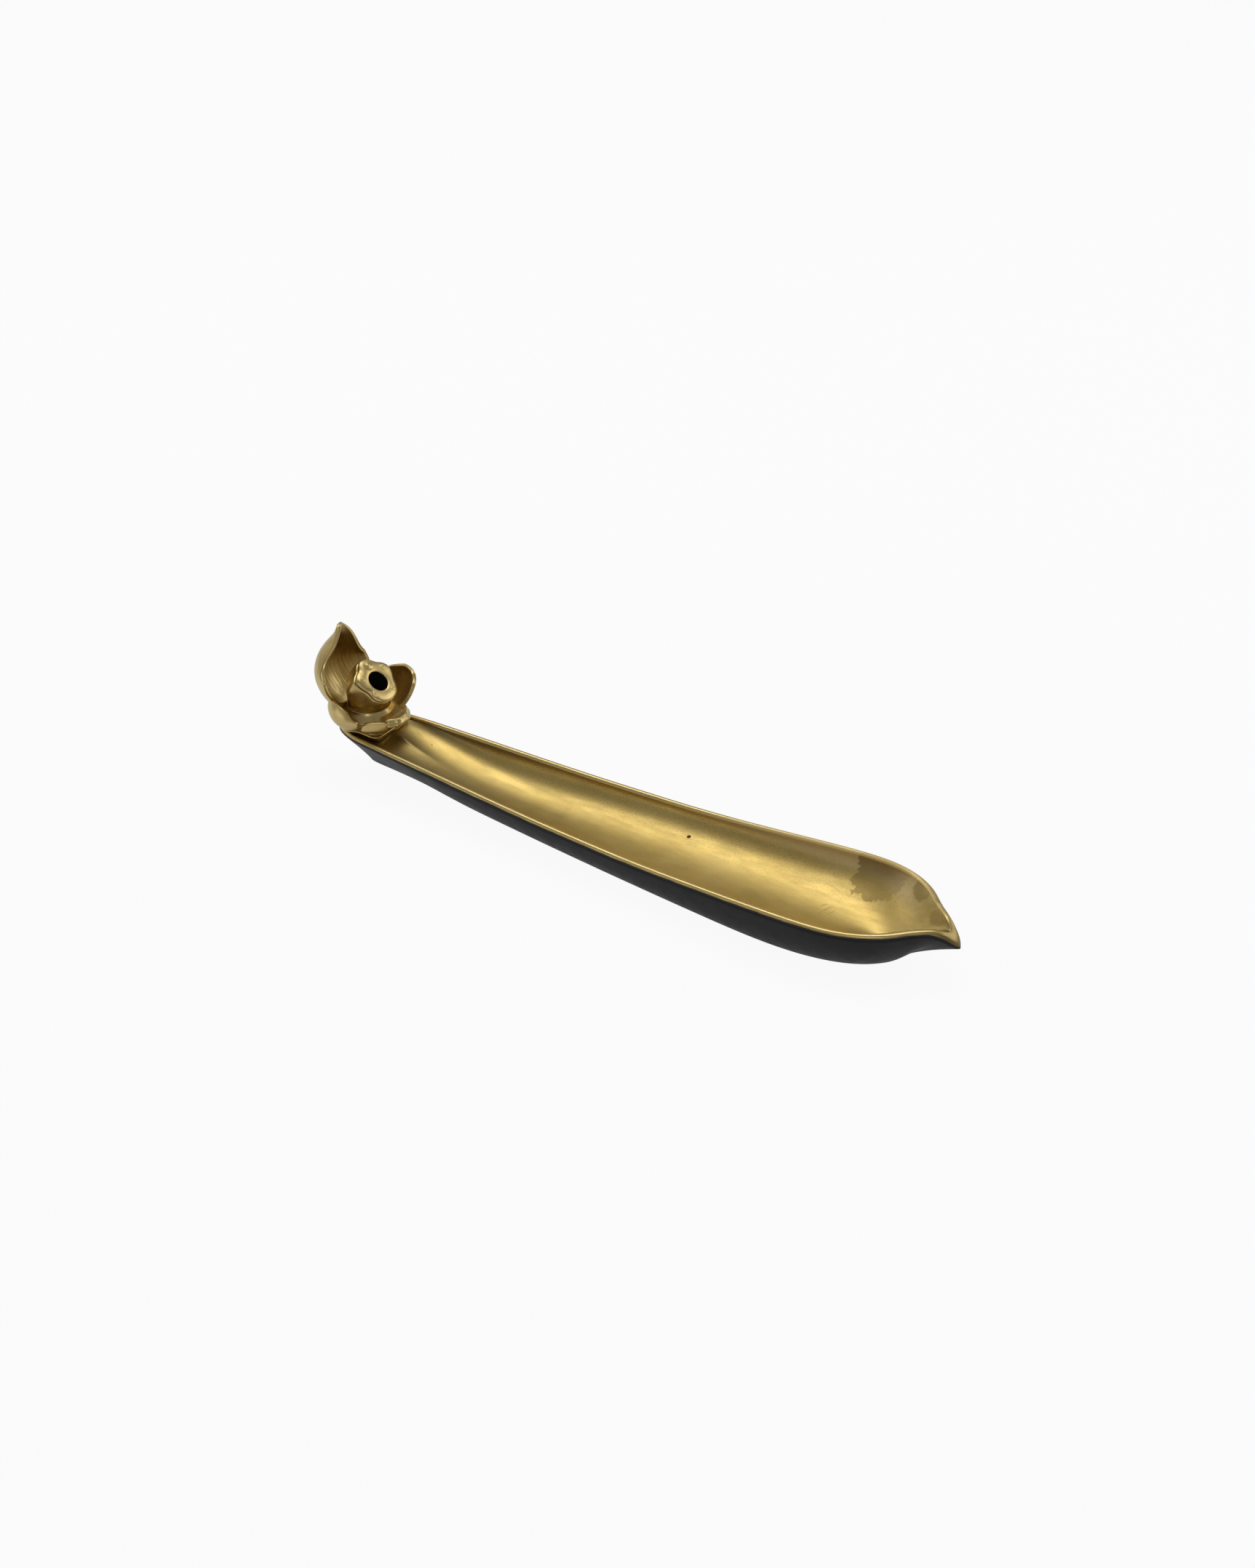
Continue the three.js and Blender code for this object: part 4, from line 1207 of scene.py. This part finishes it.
dress(hull, black_glaze(), "black_glaze", "hull")

# %% [markdown]
# ## Gold lustre of the trough
#
# The trough is a satin gold. Metal has no colour of its own under the reflections, so the tone
# goes on the base colour and the softness on the roughness. Fine grain, streaks of the brush and
# darker specks break it up. Painted shade makes it browner where the flower stands, darker on the
# near side towards the stern, and darker near the bow and on the lip. The upper far wall has
# painted shade aft and a painted highlight towards the bow, where it is also matte. Near the tip
# lie a stain that shines less, a splash and a drip. A painted highlight brightens the bead along
# the rim, and its outer edge is thin, uneven and ends in the black glaze.

# %% Tones of the trough
GOLD_DEEP = (0.64, 0.46, 0.14)
GOLD_LIGHT = (0.72, 0.53, 0.175)
STREAK_PALE = (0.54, 0.40, 0.16)
# Painted shade: the flower's shadow on the trough, then a darker near side aft
FLOWER_SHADOW_BROWN = (0.24, 0.165, 0.062)
NEAR_SHADE_BROWN = (0.24, 0.175, 0.07)
SPECK_BROWN = (0.24, 0.17, 0.07)
SCUFF_BROWN = (0.30, 0.22, 0.10)
# Painted shade and painted highlight on the upper far wall
WALL_SHADE = (0.25, 0.20, 0.10)
WALL_HIGHLIGHT = (0.74, 0.62, 0.38)
# Painted shade at the stern, towards the bow and on the lip
STERN_DIM = (0.30, 0.215, 0.08)
BOW_DIM = (0.34, 0.26, 0.10)
LIP_DIM = (0.19, 0.15, 0.075)
STAIN_BROWN = (0.27, 0.185, 0.06)
PIT_DARK = (0.05, 0.03, 0.012)
# Painted highlight along the bead of the rim
BEAD_HIGHLIGHT = (0.88, 0.68, 0.29)
THIN_BROWN = (0.13, 0.08, 0.025)
GLAZE_BLACK = (0.0068, 0.0066, 0.0075)

# %% Marks on the trough
# Centre, half length, half width in mm and turn in degrees, seen from above
STAIN = (86.2, 19.2, 9.6, 8.2, 4)
SPLASH = (103.4, 14.4, 4.3, 2.7, -35)
DRIP = (114.2, 4.2, 3.8, 1.7, -25)
PIT = (17.96, 11.9, 0.66, 0.55, 20)
DOT = (-82.8, 5.5, 0.3, 0.25, 0)
SCUFF = (-26.0, 4.7, 1.3, 6.4, 8)
SCRATCHES = [(75.0, 3.4, 2.6, 0.11, 62), (77.2, 2.6, 1.9, 0.09, 66), (73.4, 4.9, 1.2, 0.1, 48)]


def mark(tree, place, spot, ragged=0.0, soft=0.08):
    """1 inside an oval spot and 0 outside, with an edge that noise makes ragged."""
    x, y, length, width, turn = spot
    centred = add_node(tree, "ShaderNodeVectorMath", {"operation": "SUBTRACT"})
    tree.links.new(place, centred.inputs[0])
    centred.inputs[1].default_value = (x * MM, y * MM, 0)
    turned = stretched(tree, centred.outputs[0], (1, 1, 1), rotation=(0, 0, -math.radians(turn)))
    flat = stretched(tree, turned, (1 / (length * MM), 1 / (width * MM), 0))
    far = add_node(tree, "ShaderNodeVectorMath", {"operation": "LENGTH"})
    tree.links.new(flat, far.inputs[0])
    reach = far.outputs["Value"]
    if ragged:
        rough_edge = sums(tree, "SUBTRACT", noise(tree, place, 330.0, 5.0, 0.7), 0.5)
        reach = sums(tree, "ADD", reach, times(tree, rough_edge, ragged))
    return between(tree, reach, 1.0 - soft, 1.0 + soft, 1.0, 0.0)


def with_marks(tree, place, x, tone):
    """The tone with its stains and marks, and a mask of each."""
    drying = zone(tree, x, 86, 96, 0.62, 0.3)
    stained = times(tree, mark(tree, place, STAIN, 1.0, 0.04), drying)
    for spot, strength in ((SPLASH, 0.45), (DRIP, 0.3)):
        patch = times(tree, mark(tree, place, spot, 1.1, 0.12), strength)
        stained = sums(tree, "MAXIMUM", stained, patch)
    tone = blend(tree, stained, tone, STAIN_BROWN)
    dot = times(tree, mark(tree, place, DOT), 0.5)
    sunk = sums(tree, "MAXIMUM", mark(tree, place, PIT, 0.5), dot)
    for spot in SCRATCHES:
        scratch = times(tree, mark(tree, place, spot, 0.5, 0.3), 0.32)
        sunk = sums(tree, "MAXIMUM", sunk, scratch)
    return blend(tree, sunk, tone, PIT_DARK), stained, sunk


# %% Zones along and across the trough
def with_zones(tree, place, axes, tone):
    """The tone with specks, a scuff, painted shade and highlight, and the far wall's extra roughness.
    """
    x, y, z = axes
    near = zone(tree, y, 1, 8, 1.0, 0.2)
    # Painted shadow of the flower on the trough beside it, mostly on the near side
    aft = times(tree, zone(tree, x, -100, -76, 0.75, 0.0), near)
    tone = blend(tree, aft, tone, FLOWER_SHADOW_BROWN)
    # Painted shade that darkens the near side of the trough from the stern to midships
    near_shade = times(tree, zone(tree, x, -70, 10, 0.55, 0.0), zone(tree, y, 5, 0))
    tone = blend(tree, near_shade, tone, NEAR_SHADE_BROWN)
    fine = noise(tree, place, 2600.0, 3.0, 0.7)
    far_side = times(tree, zone(tree, y, 4, 14, 0.30, 1.0), 0.5)
    specks = times(tree, between(tree, fine, 0.48, 0.68), far_side)
    tone = blend(tree, specks, tone, SPECK_BROWN)
    worn = times(tree, mark(tree, place, SCUFF, 1.2, 0.4), 0.12)
    tone = blend(tree, worn, tone, SCUFF_BROWN)
    # The upper far wall gets painted shade aft and a painted highlight towards the bow
    upper = times(tree, zone(tree, z, 10, 13.5), zone(tree, y, 5, 10))
    upper = times(tree, upper, zone(tree, x, 88, 112, 0.7, 0.0))
    wall = blend(tree, zone(tree, x, -10, 70), WALL_SHADE, WALL_HIGHLIGHT)
    tone = blend(tree, upper, tone, wall)
    # Painted shade on the stern's near side, towards the bow and on the lip
    dim = times(tree, zone(tree, x, -85, -30, 0.38, 0.0), near)
    tone = blend(tree, dim, tone, STERN_DIM)
    tone = blend(tree, zone(tree, x, 96, 108, 0.0, 0.5), tone, BOW_DIM)
    tone = blend(tree, zone(tree, x, 116.5, 121.5, 0.0, 0.6), tone, LIP_DIM)
    return tone, times(tree, upper, zone(tree, x, 0, 60, 0.0, 0.35))


# %% Mix the lustre of the trough
def satin_gold():
    finish, tree, shader = new_finish("satin_gold_lustre")
    place = place_of(tree)
    apart = add_node(tree, "ShaderNodeSeparateXYZ", Vector=place).outputs
    cloudy = noise(tree, place, 45.0)
    streaks = noise(tree, stretched(tree, place, (0.25, 1.0, 1.0)), 420.0, 3.0)
    tone = blend(tree, between(tree, cloudy, 0.3, 0.7), GOLD_DEEP, GOLD_LIGHT)
    tone = blend(tree, between(tree, streaks, 0.35, 0.75, 0.0, 0.3), tone, STREAK_PALE)
    tone, matte = with_zones(tree, place, [apart[axis] for axis in "XYZ"], tone)
    tone, stained, sunk = with_marks(tree, place, apart["X"], tone)
    edge = note_of(tree, "gilt")
    # Painted highlight on the bead, fading out at the tip
    bead = between(tree, edge, 0.86, 0.98, 0.65, 0.0)
    bead = times(tree, bead, zone(tree, apart["X"], 112, 121.5, 1.0, 0.0))
    tone = blend(tree, bead, tone, BEAD_HIGHLIGHT)
    uneven = times(tree, sums(tree, "SUBTRACT", noise(tree, place, 130.0, 5.0), 0.5), 0.14)
    painted = sums(tree, "ADD", edge, uneven)
    tone = blend(tree, between(tree, painted, 0.09, 0.22, 0.75, 0.0), tone, THIN_BROWN)
    gold = between(tree, painted, 0.05, 0.09)
    tree.links.new(blend(tree, gold, GLAZE_BLACK, tone), shader.inputs["Base Color"])
    tree.links.new(gold, shader.inputs["Metallic"])
    rough = between(tree, streaks, 0.25, 0.75, 0.36, 0.46)
    rough = sums(tree, "ADD", rough, times(tree, stained, 0.1))
    rough = sums(tree, "SUBTRACT", rough, between(tree, edge, 0.8, 0.97, 0.06, 0.0))
    tree.links.new(sums(tree, "ADD", rough, matte), shader.inputs["Roughness"])
    shader.inputs["Specular IOR Level"].default_value = 0.3
    grain = bumped(tree, noise(tree, place, 3200.0, 2.0), 0.03 * MM, 0.45)
    waves = bumped(tree, noise(tree, place, 110.0, 2.0), 0.3 * MM, 0.3, grain)
    pits = bumped(tree, sums(tree, "SUBTRACT", 1.0, sunk), 0.12 * MM, 0.8, waves)
    tree.links.new(pits, shader.inputs["Normal"])
    return finish


dress(lining, satin_gold(), "gold_lining_lustre", "gold_lining")

# %% [markdown]
# ## Gold lustre of the flower
#
# The flower has the same metal over a glossier glaze, so it gives sharp glints and pale
# reflections. Deep between the petals the colour is painted brown as shade, and the lustre is
# thin and brown along the fine strokes inside the tall petal. The notes that the petals' corners
# carry say where the strokes run, and those of the bore and of the foot's sunk rings say where
# dark is painted as shade.

# %% Mix the lustre of the flower
FLOWER_DEEP = (0.58, 0.43, 0.165)
FLOWER_LIGHT = (0.70, 0.53, 0.215)
# Painted shade in the crevices between the petals
CREVICE_SHADE_BROWN = (0.2, 0.14, 0.05)
STROKE_BROWN = (0.30, 0.215, 0.08)
# Painted shade: black in the bore, and part way towards it under the flower's foot
BORE_SHADE_BLACK = (0.004, 0.0035, 0.003)


def bright_gold():
    finish, tree, shader = new_finish("bright_gold_lustre")
    place = place_of(tree)
    cloudy = noise(tree, place, 130.0)
    tone = blend(tree, between(tree, cloudy, 0.3, 0.7), FLOWER_DEEP, FLOWER_LIGHT)
    # Painted shade: ambient occlusion turns the crevices brown
    open_air = add_node(tree, "ShaderNodeAmbientOcclusion", {"samples": 8}, Distance=3.0 * MM)
    crevice_shade = between(tree, open_air.outputs["AO"], 0.1, 0.6, 0.35, 0.0)
    tone = blend(tree, crevice_shade, tone, CREVICE_SHADE_BROWN)
    across, upwards, inner = (note_of(tree, name) for name in ("across", "along", "inner"))
    stroke = add_node(tree, "ShaderNodeCombineXYZ", X=across, Y=times(tree, upwards, 0.12))
    fibres = noise(tree, stroke.outputs[0], 22.0, 3.0)
    thinner = times(tree, between(tree, fibres, 0.42, 0.62, 0.0, 0.4), inner)
    thinner = times(tree, thinner, between(tree, upwards, 0.7, 0.95, 1.0, 0.1))
    tone = blend(tree, thinner, tone, STROKE_BROWN)
    # Painted shade: black in the bore, and darker on the foot's sunk rings
    shade_mask = between(tree, note_of(tree, "bored"), 0.35, 0.6)
    golden = sums(tree, "SUBTRACT", 1.0, shade_mask)
    tree.links.new(blend(tree, shade_mask, tone, BORE_SHADE_BLACK), shader.inputs["Base Color"])
    tree.links.new(golden, shader.inputs["Metallic"])
    tree.links.new(times(tree, golden, 0.3), shader.inputs["Coat Weight"])
    rough = between(tree, noise(tree, place, 300.0), 0.3, 0.7, 0.30, 0.38)
    rough = sums(tree, "MAXIMUM", rough, times(tree, shade_mask, 0.9))
    tree.links.new(rough, shader.inputs["Roughness"])
    shader.inputs["Specular IOR Level"].default_value = 0.2
    shader.inputs["Coat Roughness"].default_value = 0.14
    strokes = bumped(tree, times(tree, fibres, inner), 0.5 * MM, 0.42)
    soft = bumped(tree, noise(tree, place, 200.0, 2.0), 0.05 * MM, 0.18, strokes)
    tree.links.new(soft, shader.inputs["Normal"])
    return finish


flower_gold = bright_gold()
for name, petal in petal_pieces.items():
    dress(petal, flower_gold, "gold_flower_lustre", name)
dress(pod_body, flower_gold, "gold_flower_lustre", "pod_body")
dress(lid, flower_gold, "gold_flower_lustre", "pod_face")
for n, seed in enumerate(seed_pieces):
    dress(seed, flower_gold, "gold_flower_lustre", f"pod_seed_{n + 1}")
dress(collar, flower_gold, "gold_flower_lustre", "collar")
dress(flower_foot, flower_gold, "gold_flower_lustre", "flower_foot")

# %% [markdown]
# ## The two boxes
#
# The dressed model has to stay inside the box of the solids.

# %% Print the sizes
def plain(box):
    return [list(corner) for corner in box]


sizes = {"cad": plain(cad_box), "visual": plain(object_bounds())}
for key, box in sizes.items():
    print(key, "box in mm:", [[round(v / MM, 2) for v in corner] for corner in box])
